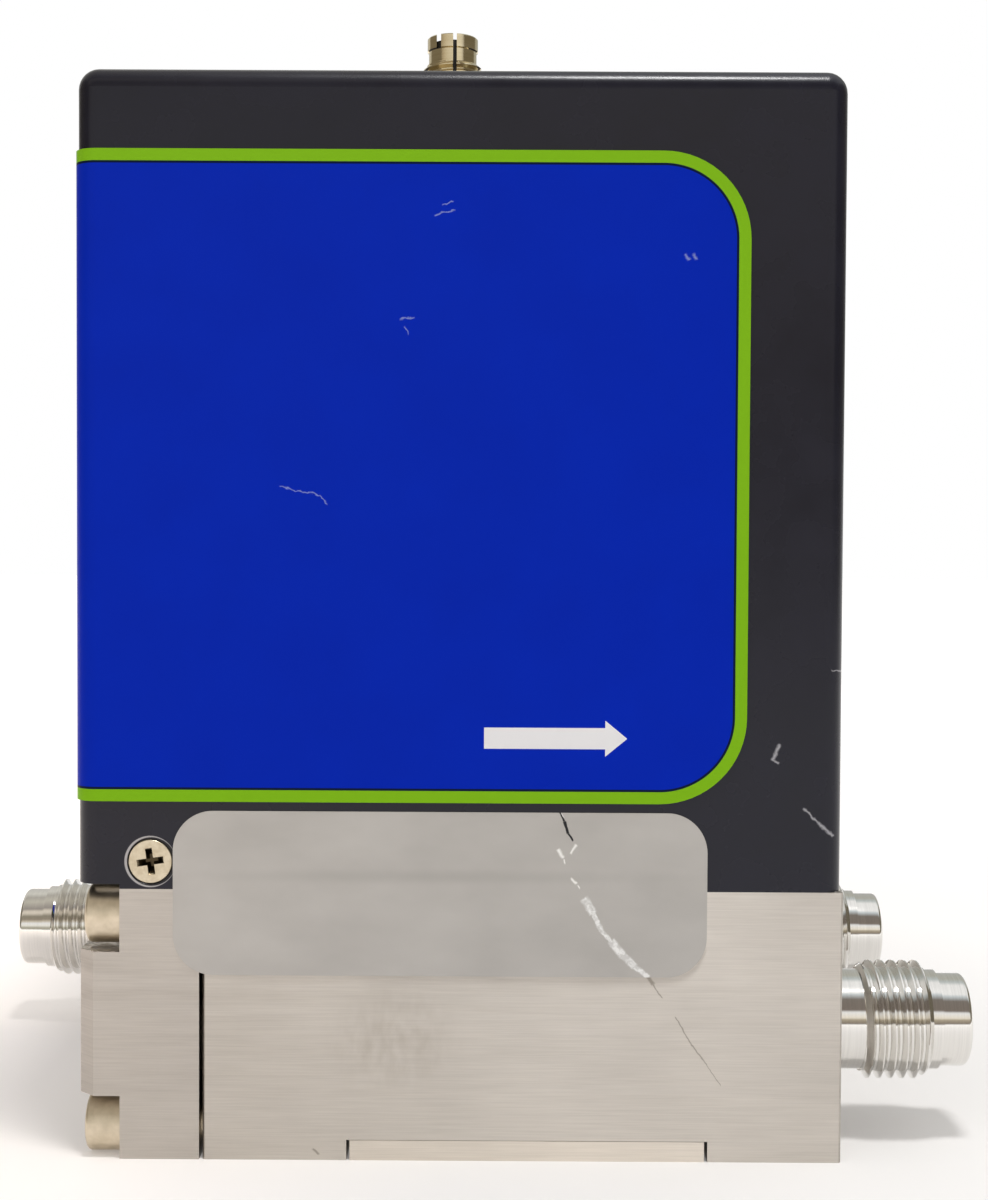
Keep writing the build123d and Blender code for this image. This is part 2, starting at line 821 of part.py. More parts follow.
    # Yoke: a folded strap round the coil
    with BuildPart() as valve_yoke:
        with BuildSketch(Plane.XZ.offset(-y_axis)):
            with Locations((valve_x, (hub_top + yoke_top) / 2)):
                RectangleRounded(valve_flange_length, yoke_height, yoke_thickness)
                Rectangle(
                    valve_flange_length - 2 * yoke_thickness,
                    yoke_height - 2 * yoke_thickness,
                    mode=Mode.SUBTRACT,
                )
        extrude(amount=valve_flange_width / 2, both=True)
        with BuildSketch(Plane.XY.offset(hub_top)):
            with Locations((valve_x, y_axis)):
                Circle(guide_radius + coil_clear)
        extrude(amount=yoke_thickness, mode=Mode.SUBTRACT)
        with BuildSketch(Plane.XY.offset(pole_top)):
            with Locations((valve_x, y_axis)):
                Circle(stud_radius + slip)
        extrude(amount=yoke_thickness, mode=Mode.SUBTRACT)
    save(valve_yoke.part, side + "_valve_yoke")

valve_places = [(valve_x, y) for y in channels.values()]

# Nuts on the pole studs
with BuildPart() as valve_nuts:
    with BuildSketch(Plane.XY.offset(yoke_top)):
        with Locations(*valve_places):
            RegularPolygon(radius=valve_nut_radius, side_count=6)
            Circle(stud_radius + slip, mode=Mode.SUBTRACT)
    extrude(amount=valve_nut_height)
save(valve_nuts.part, "valve_nuts")

# Heater windings on the sensor tubes, two on each
with BuildPart() as sensor_windings:
    for shift in (-winding_spacing / 2, winding_spacing / 2):
        with BuildSketch(Plane.YZ.offset(sensor_x + shift - winding_length / 2)):
            with Locations(*[(y, base_height + sensor_tube_rise) for y in channels.values()]):
                Circle(winding_radius)
                Circle(sensor_tube_radius + slip, mode=Mode.SUBTRACT)
        extrude(amount=winding_length)
save(sensor_windings.part, "sensor_windings")


def round_head_screws(places, z_seat, length):
    """Cylinder-head screws with a cross recess, heads up, seated at one height."""
    with BuildPart() as screws:
        with BuildSketch(Plane.XY.offset(z_seat)):
            with Locations(*places):
                Circle(screw_head_radius)
        extrude(amount=screw_head_height)
        with BuildSketch(Plane.XY.offset(z_seat)):
            with Locations(*places):
                Circle(screw_radius)
        extrude(amount=-length)
        with BuildSketch(Plane.XY.offset(z_seat + screw_head_height)):
            with Locations(*places):
                Rectangle(cross_length, cross_width)
                Rectangle(cross_width, cross_length)
        extrude(amount=-cross_depth, mode=Mode.SUBTRACT)
    return screws.part


sensor_screw_places = [
    (sensor_x + shift, y) for shift in (-sensor_screw_x, sensor_screw_x) for y in channels.values()
]
valve_screw_places = [
    (valve_x + shift_x, y + shift_y)
    for y in channels.values()
    for shift_x in (-valve_screw_x, valve_screw_x)
    for shift_y in (-valve_screw_y, valve_screw_y)
]
sensor_screw_seat = base_height + sensor_foot_thickness
save(round_head_screws(sensor_screw_places, sensor_screw_seat, sensor_screw_length), "sensor_screws")
save(round_head_screws(valve_screw_places, valve_flange_top, valve_screw_length), "valve_screws")
save(round_head_screws(chassis_screw_places, sheet_top, chassis_screw_length), "chassis_screws")

# Chassis: a folded sheet with windows for the sensors and valves
with BuildPart() as chassis:
    with BuildSketch(Plane.YZ.offset(chassis_left)) as fold:
        with Locations((0, base_height + flange_height / 2)):
            Rectangle(2 * chassis_half, flange_height)
        fillet(fold.vertices().group_by(Axis.Z)[0], radius=bend_radius)
        with Locations((0, sheet_top + flange_height / 2)):
            Rectangle(2 * (chassis_half - sheet), flange_height, mode=Mode.SUBTRACT)
    extrude(amount=chassis_right - chassis_left)
    with BuildSketch(Plane.XY.offset(base_height)):
        with Locations(((chassis_left + chassis_right) / 2, 0)):
            RectangleRounded(chassis_right - chassis_left, 2 * chassis_half, cover_rounding - cover_wall)
    extrude(amount=flange_height, mode=Mode.INTERSECT)
    with BuildSketch(Plane.XY.offset(base_height)):
        with Locations(*[(x, tab_front + tab_thickness / 2) for x in tab_places]):
            Rectangle(tab_width, tab_thickness)
    extrude(amount=sheet + tab_height)
    with BuildSketch(Plane.XZ.offset(-tab_front)):
        with Locations(*[(x, sheet_top + tab_screw_height) for x in tab_places]):
            Circle(screw_radius + slip)
    extrude(amount=-tab_thickness, mode=Mode.SUBTRACT)
    with BuildSketch(Plane.XY.offset(base_height)):
        with Locations(*[(sensor_x, y) for y in channels.values()]):
            Rectangle(sensor_foot_length + 2 * room, sensor_housing_width + 2 * room)
        with Locations(*valve_places):
            Rectangle(valve_flange_length + 2 * room, valve_flange_width + 2 * room)
        with Locations(*chassis_screw_places):
            Circle(screw_radius + slip)
        with Locations(*standoff_places):
            Circle(screw_radius + slip)
    extrude(amount=sheet, mode=Mode.SUBTRACT)
    for facing, x in cover_screw_places.items():
        with BuildSketch(Plane.XZ.offset(-facing * (chassis_half - sheet))):
            with Locations((x, cover_screw_height)):
                Circle(press_nut_radius)
        extrude(amount=facing * press_nut_length)
        with BuildSketch(Plane.XZ.offset(-facing * chassis_half)):
            with Locations((x, cover_screw_height)):
                Circle(screw_radius + slip)
        extrude(amount=facing * (sheet + press_nut_length), mode=Mode.SUBTRACT)
save(chassis.part, "chassis")

# Cover: a drawn box, open below
with BuildPart() as cover:
    with BuildSketch(Plane.XY.offset(base_height)):
        with Locations((cover_middle, 0)):
            Rectangle(cover_length, depth)
    extrude(amount=cover_top - base_height)
    fillet(
        cover.edges().filter_by(Axis.Z) + cover.edges().group_by(Axis.Z)[-1],
        radius=cover_rounding,
    )
    offset(amount=-cover_wall, openings=cover.faces().sort_by(Axis.Z)[0])
    with BuildSketch(Plane.XY.offset(base_height)):
        with Locations(((cover_left + notch_wall) / 2, 0)):
            Rectangle(notch_wall - cover_left, depth)
    extrude(amount=cover_relief, mode=Mode.SUBTRACT)
    with BuildSketch(Plane.XY.offset(inside_top)):
        with Locations((plug_x, plug_y)):
            Circle(plug_thread_radius + slip)
        with Locations((io_x, io_y)):
            Rectangle(io_shell_length + 2 * io_cutout_clear, io_shell_width + 2 * io_cutout_clear)
        with Locations(*jack_places):
            Circle(screw_radius + slip)
    extrude(amount=cover_wall, mode=Mode.SUBTRACT)
    for facing, x in cover_screw_places.items():
        with Locations(Location((x, facing * half_depth, cover_screw_height), (-90 * facing, 0, 0))):
            CounterSinkHole(
                radius=screw_radius + slip,
                counter_sink_radius=flat_head_radius + slip,
                depth=cover_wall,
                counter_sink_angle=flat_head_angle,
            )
save(cover.part, "cover")

# Flat-head cover screws, one at the front left and one at the rear right
with BuildPart() as cover_screws:
    for facing, x in cover_screw_places.items():
        with BuildSketch(Plane.XZ.offset(-facing * half_depth)):
            with Locations((x, cover_screw_height)):
                Circle(flat_head_radius)
        extrude(amount=facing * flat_head_height, taper=flat_head_angle / 2)
        with BuildSketch(Plane.XZ.offset(-facing * half_depth)):
            with Locations((x, cover_screw_height)):
                Circle(screw_radius)
        extrude(amount=facing * cover_screw_length)
        with BuildSketch(Plane.XZ.offset(-facing * half_depth)):
            with Locations((x, cover_screw_height)):
                Rectangle(cross_length, cross_width)
                Rectangle(cross_width, cross_length)
        extrude(amount=facing * cross_depth, mode=Mode.SUBTRACT)
save(cover_screws.part, "cover_screws")

# Label: one film on the front, round the left bend and along the left side
label_end = half_depth - label_rear_margin
with BuildPart() as label_overlay:
    with BuildSketch(Plane.XY.offset(label_bottom)) as wrap:
        with Locations((cover_middle, 0)):
            RectangleRounded(
                cover_length + 2 * (film_gap + label_thickness),
                depth + 2 * (film_gap + label_thickness),
                cover_rounding + film_gap + label_thickness,
            )
            RectangleRounded(
                cover_length + 2 * film_gap,
                depth + 2 * film_gap,
                cover_rounding + film_gap,
                mode=Mode.SUBTRACT,
            )
        with Locations((label_right, -half_depth)):
            Rectangle(
                cover_length,
                depth,
                align=(Align.MIN, Align.CENTER),
                mode=Mode.SUBTRACT,
            )
        with Locations((cover_left - cover_rounding, label_end)):
            Rectangle(
                cover_length + 2 * cover_rounding,
                depth,
                align=(Align.MIN, Align.MIN),
                mode=Mode.SUBTRACT,
            )
        with Locations((cover_left + cover_rounding, 0)):
            Rectangle(
                cover_length,
                depth,
                align=(Align.MIN, Align.MIN),
                mode=Mode.SUBTRACT,
            )
    extrude(amount=label_top - label_bottom)
    fillet(
        label_overlay.edges().filter_by(Axis.Y).group_by(Axis.X)[-1],
        radius=label_rounding,
    )
    fillet(
        label_overlay.edges().filter_by(Axis.X).group_by(Axis.Y)[-1],
        radius=label_rounding,
    )
save(label_overlay.part, "label_overlay")

# Seal: foil across the joint between cover and block
with BuildPart() as seal_sticker:
    with BuildSketch(Plane.XZ.offset(half_depth + film_gap)):
        with Locations((seal_left + seal_length / 2, seal_bottom + seal_height / 2)):
            RectangleRounded(seal_length, seal_height, seal_rounding)
    extrude(amount=seal_thickness)
save(seal_sticker.part, "seal_sticker")

# Round connector: nickel shell with a key slot, insert, contacts and nut
plug_top = cover_top + plug_height
with BuildPart() as plug_shell:
    with BuildSketch(Plane.XY.offset(cover_top)):
        with Locations((plug_x, plug_y)):
            RegularPolygon(radius=plug_collar_radius, side_count=6)
    extrude(amount=plug_collar_height)
    with BuildSketch(Plane.XY.offset(cover_top - plug_below)):
        with Locations((plug_x, plug_y)):
            Circle(plug_thread_radius)
    extrude(amount=plug_below + plug_height - lip_height - plug_neck_height)
    with BuildSketch(Plane.XY.offset(plug_top)):
        with Locations((plug_x, plug_y)):
            Circle(plug_neck_radius)
    extrude(amount=-lip_height - plug_neck_height)
    with BuildSketch(Plane.XY.offset(plug_top)):
        with Locations((plug_x, plug_y)):
            Circle(lip_radius)
    extrude(amount=-lip_height)
    with BuildSketch(Plane.XY.offset(plug_top)):
        with Locations((plug_x, plug_y)):
            Circle(plug_bore_radius)
    extrude(amount=-plug_height - plug_below, mode=Mode.SUBTRACT)
    with BuildSketch(Plane.XY.offset(plug_top)):
        with Locations((plug_x + key_offset, plug_y)):
            Rectangle(key_width, plug_thread_radius + slip, align=(Align.CENTER, Align.MAX))
    extrude(amount=-key_depth, mode=Mode.SUBTRACT)
    with BuildSketch(Plane.XY.offset(plug_top)):
        with Locations((plug_x + lip_slot_offset, plug_y)):
            Rectangle(lip_slot_width, plug_thread_radius + slip, align=(Align.CENTER, Align.MAX))
    extrude(amount=-lip_height, mode=Mode.SUBTRACT)
save(plug_shell.part, "connector_shell")

with BuildPart() as plug_insert:
    with BuildSketch(Plane.XY.offset(cover_top - plug_below)):
        with Locations((plug_x, plug_y)):
            Circle(plug_bore_radius - slip)
        with Locations(*contact_places):
            Circle(contact_radius + slip, mode=Mode.SUBTRACT)
    extrude(amount=plug_below + plug_height - contact_recess)
save(plug_insert.part, "connector_insert")

with BuildPart() as plug_contacts:
    with BuildSketch(Plane.XY.offset(board_z - contact_tail)):
        with Locations(*contact_places):
            Circle(contact_radius)
    extrude(amount=plug_top - 2 * contact_recess - board_z + contact_tail)
    with BuildSketch(Plane.XY.offset(plug_top - 2 * contact_recess)):
        with Locations(*contact_places):
            Circle(contact_mouth_radius)
    extrude(amount=-contact_mouth_depth, mode=Mode.SUBTRACT)
save(plug_contacts.part, "connector_contacts")

with BuildPart() as plug_nut:
    with BuildSketch(Plane.XY.offset(inside_top)):
        with Locations((plug_x, plug_y)):
            RegularPolygon(radius=plug_nut_radius, side_count=6)
            Circle(plug_thread_radius + slip, mode=Mode.SUBTRACT)
    extrude(amount=-plug_nut_height)
save(plug_nut.part, "connector_nut")

# Signal connector: stamped shell, moulded body, pins and jack screws
flange_bottom = inside_top - io_flange_thickness
board_top = board_z + board_thickness
with BuildPart() as io_shell:
    with BuildSketch(Plane.XY.offset(flange_bottom)):
        with Locations((io_x, io_y)):
            RectangleRounded(io_flange_length, io_flange_width, io_flange_thickness)
        with Locations(*jack_places):
            Circle(screw_radius + slip, mode=Mode.SUBTRACT)
    extrude(amount=io_flange_thickness)
    with BuildSketch(Plane.XY.offset(flange_bottom)) as outline:
        with Locations((io_x, io_y)):
            Trapezoid(io_shell_length, io_shell_width, io_shell_angle, rotation=180)
        fillet(outline.vertices(), radius=io_shell_rounding)
    extrude(amount=io_flange_thickness + cover_wall + io_shell_height)
    with BuildSketch(Plane.XY.offset(flange_bottom)) as hollow:
        with Locations((io_x, io_y)):
            Trapezoid(io_shell_length, io_shell_width, io_shell_angle, rotation=180)
        fillet(hollow.vertices(), radius=io_shell_rounding)
        offset(amount=-io_shell_wall, mode=Mode.REPLACE)
    extrude(amount=io_flange_thickness + cover_wall + io_shell_height, mode=Mode.SUBTRACT)
save(io_shell.part, "signal_connector_shell")

with BuildPart() as io_body:
    with BuildSketch(Plane.XY.offset(board_top)):
        with Locations((io_x, io_y)):
            Rectangle(io_body_length, io_body_width)
    extrude(amount=flange_bottom - board_top)
    with BuildSketch(Plane.XY.offset(flange_bottom)) as floor:
        with Locations((io_x, io_y)):
            Trapezoid(io_shell_length, io_shell_width, io_shell_angle, rotation=180)
        fillet(floor.vertices(), radius=io_shell_rounding)
        offset(amount=-io_shell_wall - slip, mode=Mode.REPLACE)
    extrude(amount=io_flange_thickness + io_floor_height)
    with BuildSketch(Plane.XY.offset(board_top)):
        with Locations(*io_pin_places):
            Circle(io_pin_radius + slip)
    extrude(amount=inside_top + io_floor_height - board_top, mode=Mode.SUBTRACT)
save(io_body.part, "signal_connector_body")

with BuildPart() as io_pins:
    with BuildSketch(Plane.XY.offset(board_z - contact_tail)):
        with Locations(*io_pin_places):
            Circle(io_pin_radius)
    extrude(amount=inside_top + io_floor_height + io_pin_height - board_z + contact_tail)
save(io_pins.part, "signal_connector_pins")

with BuildPart() as jack_screws:
    with BuildSketch(Plane.XY.offset(cover_top)):
        with Locations(*jack_places):
            RegularPolygon(radius=jack_radius, side_count=6)
    extrude(amount=jack_height)
    with BuildSketch(Plane.XY.offset(cover_top)):
        with Locations(*jack_places):
            Circle(screw_radius)
    extrude(amount=-jack_stud_length)
    with BuildSketch(Plane.XY.offset(cover_top + jack_height)):
        with Locations(*jack_places):
            Circle(jack_bore_radius)
    extrude(amount=-jack_bore_depth, mode=Mode.SUBTRACT)
save(jack_screws.part, "jack_screws")

# Main board, upright in the middle, held to the chassis tabs
main_board_left = inside_left + main_board_inset
main_board_right = inside_right - main_board_inset
main_board_bottom = sheet_top + main_board_lift
with BuildPart() as main_board:
    with BuildSketch(Plane.XZ):
        with BuildLine():
            Polyline(
                (main_board_left, main_board_bottom),
                (main_board_right, main_board_bottom),
                (main_board_right, main_board_top),
                (main_board_left, main_board_top),
                close=True,
            )
        make_face()
        with Locations(*[(x, sheet_top + tab_screw_height) for x in tab_places]):
            Circle(screw_radius + slip, mode=Mode.SUBTRACT)
    extrude(amount=board_thickness / 2, both=True)
save(main_board.part, "main_board")

# Interface board under the connectors, on four standoffs
with BuildPart() as interface_board:
    with BuildSketch(Plane.XY.offset(board_z)):
        with Locations(((inside_left + inside_right) / 2, 0)):
            Rectangle(inside_right - inside_left - 2 * board_clear, 2 * (inside_half - board_clear))
        with Locations(*standoff_places):
            Circle(screw_radius + slip, mode=Mode.SUBTRACT)
        with Locations(*contact_places):
            Circle(contact_radius + slip, mode=Mode.SUBTRACT)
        with Locations(*io_pin_places):
            Circle(io_pin_radius + slip, mode=Mode.SUBTRACT)
    extrude(amount=board_thickness)
save(interface_board.part, "interface_board")

with BuildPart() as board_header:
    with BuildSketch(Plane.XY.offset(main_board_top - header_bite)):
        with Locations((header_x, 0)):
            Rectangle(header_length, header_width)
    extrude(amount=board_z - main_board_top + header_bite)
    with BuildSketch(Plane.XY.offset(main_board_top - header_bite)):
        with Locations((header_x, 0)):
            Rectangle(header_length, board_thickness + 2 * slip)
    extrude(amount=header_bite, mode=Mode.SUBTRACT)
save(board_header.part, "board_header")

with BuildPart() as board_standoffs:
    with BuildSketch(Plane.XY.offset(sheet_top)):
        with Locations(*standoff_places):
            Circle(standoff_radius)
    extrude(amount=board_z - sheet_top)
    with BuildSketch(Plane.XY.offset(sheet_top)):
        with Locations(*standoff_places):
            Circle(screw_radius)
    extrude(amount=-standoff_stud)
    with BuildSketch(Plane.XY.offset(board_z)):
        with Locations(*standoff_places):
            Circle(screw_radius + slip)
    extrude(amount=board_thickness - board_screw_length, mode=Mode.SUBTRACT)
save(board_standoffs.part, "board_standoffs")
save(round_head_screws(standoff_places, board_top, board_screw_length), "board_screws")

with BuildPart() as tab_screws:
    tab_screw_places = [(x, sheet_top + tab_screw_height) for x in tab_places]
    with BuildSketch(Plane.XZ.offset(tab_front)):
        with Locations(*tab_screw_places):
            Circle(screw_head_radius)
    extrude(amount=screw_head_height)
    with BuildSketch(Plane.XZ.offset(tab_front)):
        with Locations(*tab_screw_places):
            Circle(screw_radius)
    extrude(amount=-board_thickness - tab_thickness - room)
save(tab_screws.part, "main_board_screws")

# Component packages on the front of the main board
with BuildPart() as board_chips:
    with BuildSketch(Plane.XZ.offset(tab_front)):
        with Locations(((main_board_left + main_board_right) / 2, (main_board_bottom + main_board_top) / 2)):
            with GridLocations(chip_pitch_x, chip_pitch_z, chip_columns, chip_rows):
                Rectangle(chip_size, chip_size)
    extrude(amount=chip_height)
save(board_chips.part, "board_chips")
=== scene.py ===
from math import atan2, cos, hypot, pi, radians, sin

import bmesh
import bpy
from mathutils import Matrix, Vector


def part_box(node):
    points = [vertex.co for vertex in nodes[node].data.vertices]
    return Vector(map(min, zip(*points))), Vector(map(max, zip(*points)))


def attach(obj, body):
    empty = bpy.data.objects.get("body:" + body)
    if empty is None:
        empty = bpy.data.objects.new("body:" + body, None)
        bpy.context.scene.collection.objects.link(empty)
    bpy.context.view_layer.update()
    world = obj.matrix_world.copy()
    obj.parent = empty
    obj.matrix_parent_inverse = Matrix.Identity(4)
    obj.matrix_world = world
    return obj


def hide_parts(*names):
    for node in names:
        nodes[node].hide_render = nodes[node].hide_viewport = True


# Looks of the flow ratio controller. Metres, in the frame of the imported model.
MM = 0.001
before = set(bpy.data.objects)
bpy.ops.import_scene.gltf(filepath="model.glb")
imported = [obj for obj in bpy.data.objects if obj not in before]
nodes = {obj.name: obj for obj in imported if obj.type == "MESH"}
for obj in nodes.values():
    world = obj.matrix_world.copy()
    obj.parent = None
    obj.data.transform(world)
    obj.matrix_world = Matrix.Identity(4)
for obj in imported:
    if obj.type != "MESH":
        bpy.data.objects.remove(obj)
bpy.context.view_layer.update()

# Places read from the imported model
base_low, base_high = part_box("base_block")
label_low, label_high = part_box("label_overlay")
plug_low, plug_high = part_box("connector_shell")
inlet_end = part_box("inlet_block")[0].x
cover_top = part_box("cover")[1].z
front = base_low.y

# Camera
SENSOR_WIDTH = 36
LENS = 53.28
CAMERA_TURN = (-0.112, -1.681, 0.299)
CAMERA_PLACE = (4.171, -243.785, 71.674)

# Two points this near count as being in one place, and an edge that bends more is shown sharp
NEAR = 0.01 * MM
SHARP = radians(35)

# Fittings: the neck, the thread, a relief, and a nose with a sealing bead
FITTING_Y = 25.4 * MM
THREAD_PITCH = 1.411 * MM
THREAD_RADIUS = 7.145 * MM
THREAD_DEPTH = 0.87 * MM
THREAD_LENGTH = 8.08 * MM
NECK_RADIUS = 6.05 * MM
OUTLET_NECK = 4.3 * MM
INLET_NECK = 9.52 * MM
RELIEF_LENGTH = 1.34 * MM
NOSE_RADIUS = 5.63 * MM
NOSE_LENGTH = 3.63 * MM
NOSE_ROUNDING = 0.6 * MM
NOSE_STEP = 0.1 * MM
ROUND_STEPS = 8
BEAD_CIRCLE = 3.9 * MM
BEAD_RADIUS = 0.3 * MM
GAS_BORE = 2.3 * MM
BORE_EDGE = 0.25 * MM
SPIGOT_RADIUS = 4.75 * MM
SPIGOT_DEPTH = 2.5 * MM
# Where a crest shows at the bottom of the thread, which fixes how far the thread is turned
OUTLET_CREST = 49.85 * MM
INLET_CREST = -60.52 * MM
BOTTOM_OF_TURN = 0.75
# One pitch of a 60-degree thread: place along it in pitches, and depth as a share of the thread's
THREAD_FORM = (
    (-0.5, 1.0), (-0.4, 0.97), (-0.22, 0.45), (-0.06, 0.0),
    (0.06, 0.0), (0.22, 0.45), (0.4, 0.97), (0.5, 1.0),
)
THREAD_CHAMFER = 1.2
TURNED_STEPS = 96
THREAD_STEPS = 72

# Round connector
PLUG_X = -2.3 * MM
PLUG_PITCH = 1.0 * MM
PLUG_THREAD = 4.0 * MM
PLUG_DEPTH = 0.6 * MM
PLUG_LIP = 3.42 * MM
PLUG_LIP_HEIGHT = 1.9 * MM
PLUG_NECK = 3.23 * MM
PLUG_NECK_HEIGHT = 1.7 * MM
PLUG_BORE = 2.75 * MM
PLUG_EDGE = 0.15 * MM
PLUG_CREST = 0.35 * MM
PLUG_WALL_GAP = 0.05 * MM
COLLAR_RADIUS = 5.6 * MM
COLLAR_HEIGHT = 2.2 * MM
COLLAR_EDGE = 0.25 * MM
COLLAR_STEPS = 48
KEY_WIDTH = 0.5 * MM
KEY_OFFSET = 0.37 * MM
KEY_DEPTH = 9.0 * MM
LIP_SLOT_WIDTH = 0.6 * MM
LIP_SLOT_OFFSET = -1.8 * MM

# Cover screws, the bare rim that the countersink has cut in the paint, and a ring of painted shade in the gap round
# the head
SCREW_X = -36.1 * MM
SCREW_Z = 34.97 * MM
SCREW_HEAD = 2.56 * MM
SCREW_EDGE = 0.08 * MM
SCREW_SHANK = 1.42 * MM
SCREW_LENGTH = 4.2 * MM
SCREW_STEPS = 64
CROSS_LENGTH = 3.2 * MM
CROSS_WIDTH = 0.82 * MM
CROSS_DEPTH = 1.1 * MM
CROSS_ABOVE = 0.05 * MM
CROSS_TAPER = 0.45
CROSS_TURN = radians(8)
RIM_RADIUS = 3.0 * MM
SHADE_RING_RADIUS = 2.85 * MM
SHADE_RING_SHIFT = 0.14 * MM

# Studio: the floor, the bent room that reflections see, and the lamp overhead
FLOOR_REACH = 4.0
ROOM_RADIUS = 1.1
ROOM_REACH = 1.3
LAMP_SIZE = (0.14, 0.10)
LAMP_POWER = 2.8
LAMP_PLACE = (0.09, -0.16, 0.8)

# Wear on the front, as runs in X and Z with a width, in millimetres
COVER_CHIPS = (
    ((37.0, 49.0), (36.2, 47.2), 0.26), ((36.2, 47.2), (36.9, 46.9), 0.16), ((39.9, 41.6), (41.6, 39.9), 0.18),
    ((41.6, 39.9), (43.4, 38.4), 0.26), ((43.0, 57.7), (44.6, 57.5), 0.12),
)
LABEL_RUBS = (
    ((-3.2, 109.9), (-1.0, 110.5), 0.14), ((-2.4, 111.0), (-1.3, 111.4), 0.10), ((-7.2, 98.0), (-5.6, 98.2), 0.14),
    ((-6.6, 97.0), (-6.2, 96.2), 0.12), ((25.6, 105.5), (26.0, 105.0), 0.30), ((26.5, 105.5), (26.9, 105.0), 0.26),
    ((-21.0, 78.6), (-16.4, 77.6), 0.12), ((-16.4, 77.6), (-15.6, 76.6), 0.10),
)
SEAL_SPLIT = (
    ((11.55, 41.0), (12.1, 39.9), 0.20), ((12.1, 39.9), (12.55, 38.6), 0.34), ((12.55, 38.6), (13.1, 37.7), 0.22),
)
SEAL_FLAKES = (
    ((13.5, 37.2), (12.9, 36.2), 0.26), ((11.4, 36.7), (11.9, 35.8), 0.34), ((12.0, 35.5), (12.2, 35.1), 0.18),
    ((12.9, 33.3), (13.5, 32.7), 0.22), ((13.7, 32.4), (13.9, 32.1), 0.14), ((11.75, 40.9), (11.95, 40.4), 0.16),
)
SEAL_TEAR = (
    ((14.5, 30.9), (15.5, 29.2), 1.00), ((15.5, 29.2), (16.5, 27.1), 0.55), ((16.5, 27.1), (17.6, 26.0), 0.42),
    ((17.6, 26.0), (19.0, 24.3), 0.92), ((19.0, 24.3), (20.4, 23.0), 0.80), ((20.4, 23.0), (22.0, 21.7), 0.62),
)
BLOCK_SCRATCHES = (
    ((22.0, 21.8), (22.6, 20.9), 0.42), ((22.6, 20.9), (23.6, 19.3), 0.14), ((25.2, 17.0), (27.0, 14.0), 0.13),
    ((27.0, 14.0), (28.5, 12.0), 0.15), ((28.5, 12.0), (30.5, 9.1), 0.09), ((-17.1, 1.3), (-16.4, 0.7), 0.25),
)


def camera():
    """Camera at the photograph's viewing angle."""
    data = bpy.data.cameras.new("camera")
    data.sensor_width = SENSOR_WIDTH
    data.lens = LENS
    yaw, pitch, roll = [radians(degrees) for degrees in CAMERA_TURN]
    ahead = Vector((sin(yaw) * cos(pitch), cos(yaw) * cos(pitch), sin(pitch)))
    level = Vector((cos(yaw), -sin(yaw), 0))
    upright = level.cross(ahead)
    right = level * cos(roll) + upright * sin(roll)
    up = upright * cos(roll) - level * sin(roll)
    placed = Matrix((right, up, -ahead)).transposed().to_4x4()
    placed.translation = Vector(CAMERA_PLACE) * MM
    made = bpy.data.objects.new("camera", data)
    made.matrix_world = placed
    bpy.context.scene.collection.objects.link(made)
    bpy.context.scene.camera = made


def linear(hex_colour):
    """An sRGB hex colour as linear values."""
    channels = [int(hex_colour[i:i + 2], 16) / 255 for i in (1, 3, 5)]
    return [c / 12.92 if c <= 0.04045 else ((c + 0.055) / 1.055) ** 2.4 for c in channels] + [1]


def add(tree, kind, inputs=None, stops=(), **options):
    """Adds a node. Options are its properties, inputs its sockets: a number, a colour or another socket.

    Stops are the places and hex colours of a colour ramp."""
    made = tree.nodes.new("ShaderNode" + kind)
    for name, value in options.items():
        setattr(made, name, value)
    for key, value in (inputs or {}).items():
        if isinstance(value, bpy.types.NodeSocket):
            tree.links.new(value, made.inputs[key])
        else:
            made.inputs[key].default_value = value
    if stops:
        ends = made.color_ramp.elements[0], made.color_ramp.elements[1]
        for end, (place, colour) in zip(ends, (stops[0], stops[-1])):
            end.position = place
            end.color = linear(colour)
        for place, colour in stops[1:-1]:
            made.color_ramp.elements.new(place).color = linear(colour)
    return made


def new_material(name, **shader):
    """A material with one Principled shader. Returns it, its tree and the shader."""
    made = bpy.data.materials.new(name)
    made.use_nodes = True
    surface = made.node_tree.nodes["Principled BSDF"]
    for key, value in shader.items():
        surface.inputs[key.replace("_", " ")].default_value = value
    return made, made.node_tree, surface


def give(material, *pieces):
    """Puts one material on pieces, given as node names or as objects."""
    for piece in pieces:
        target = nodes[piece] if isinstance(piece, str) else piece
        target.data.materials.clear()
        target.data.materials.append(material)


def grain(tree, along, across, upright, detail=3.0):
    """Noise whose grain is so many millimetres along X, Y and Z."""
    where = add(tree, "TexCoord")
    drawn = add(tree, "Mapping", {
        "Vector": where.outputs["Object"],
        "Scale": (1 / (along * MM), 1 / (across * MM), 1 / (upright * MM)),
    })
    return add(tree, "TexNoise", {"Vector": drawn.outputs[0], "Scale": 1.0, "Detail": detail}).outputs["Fac"]


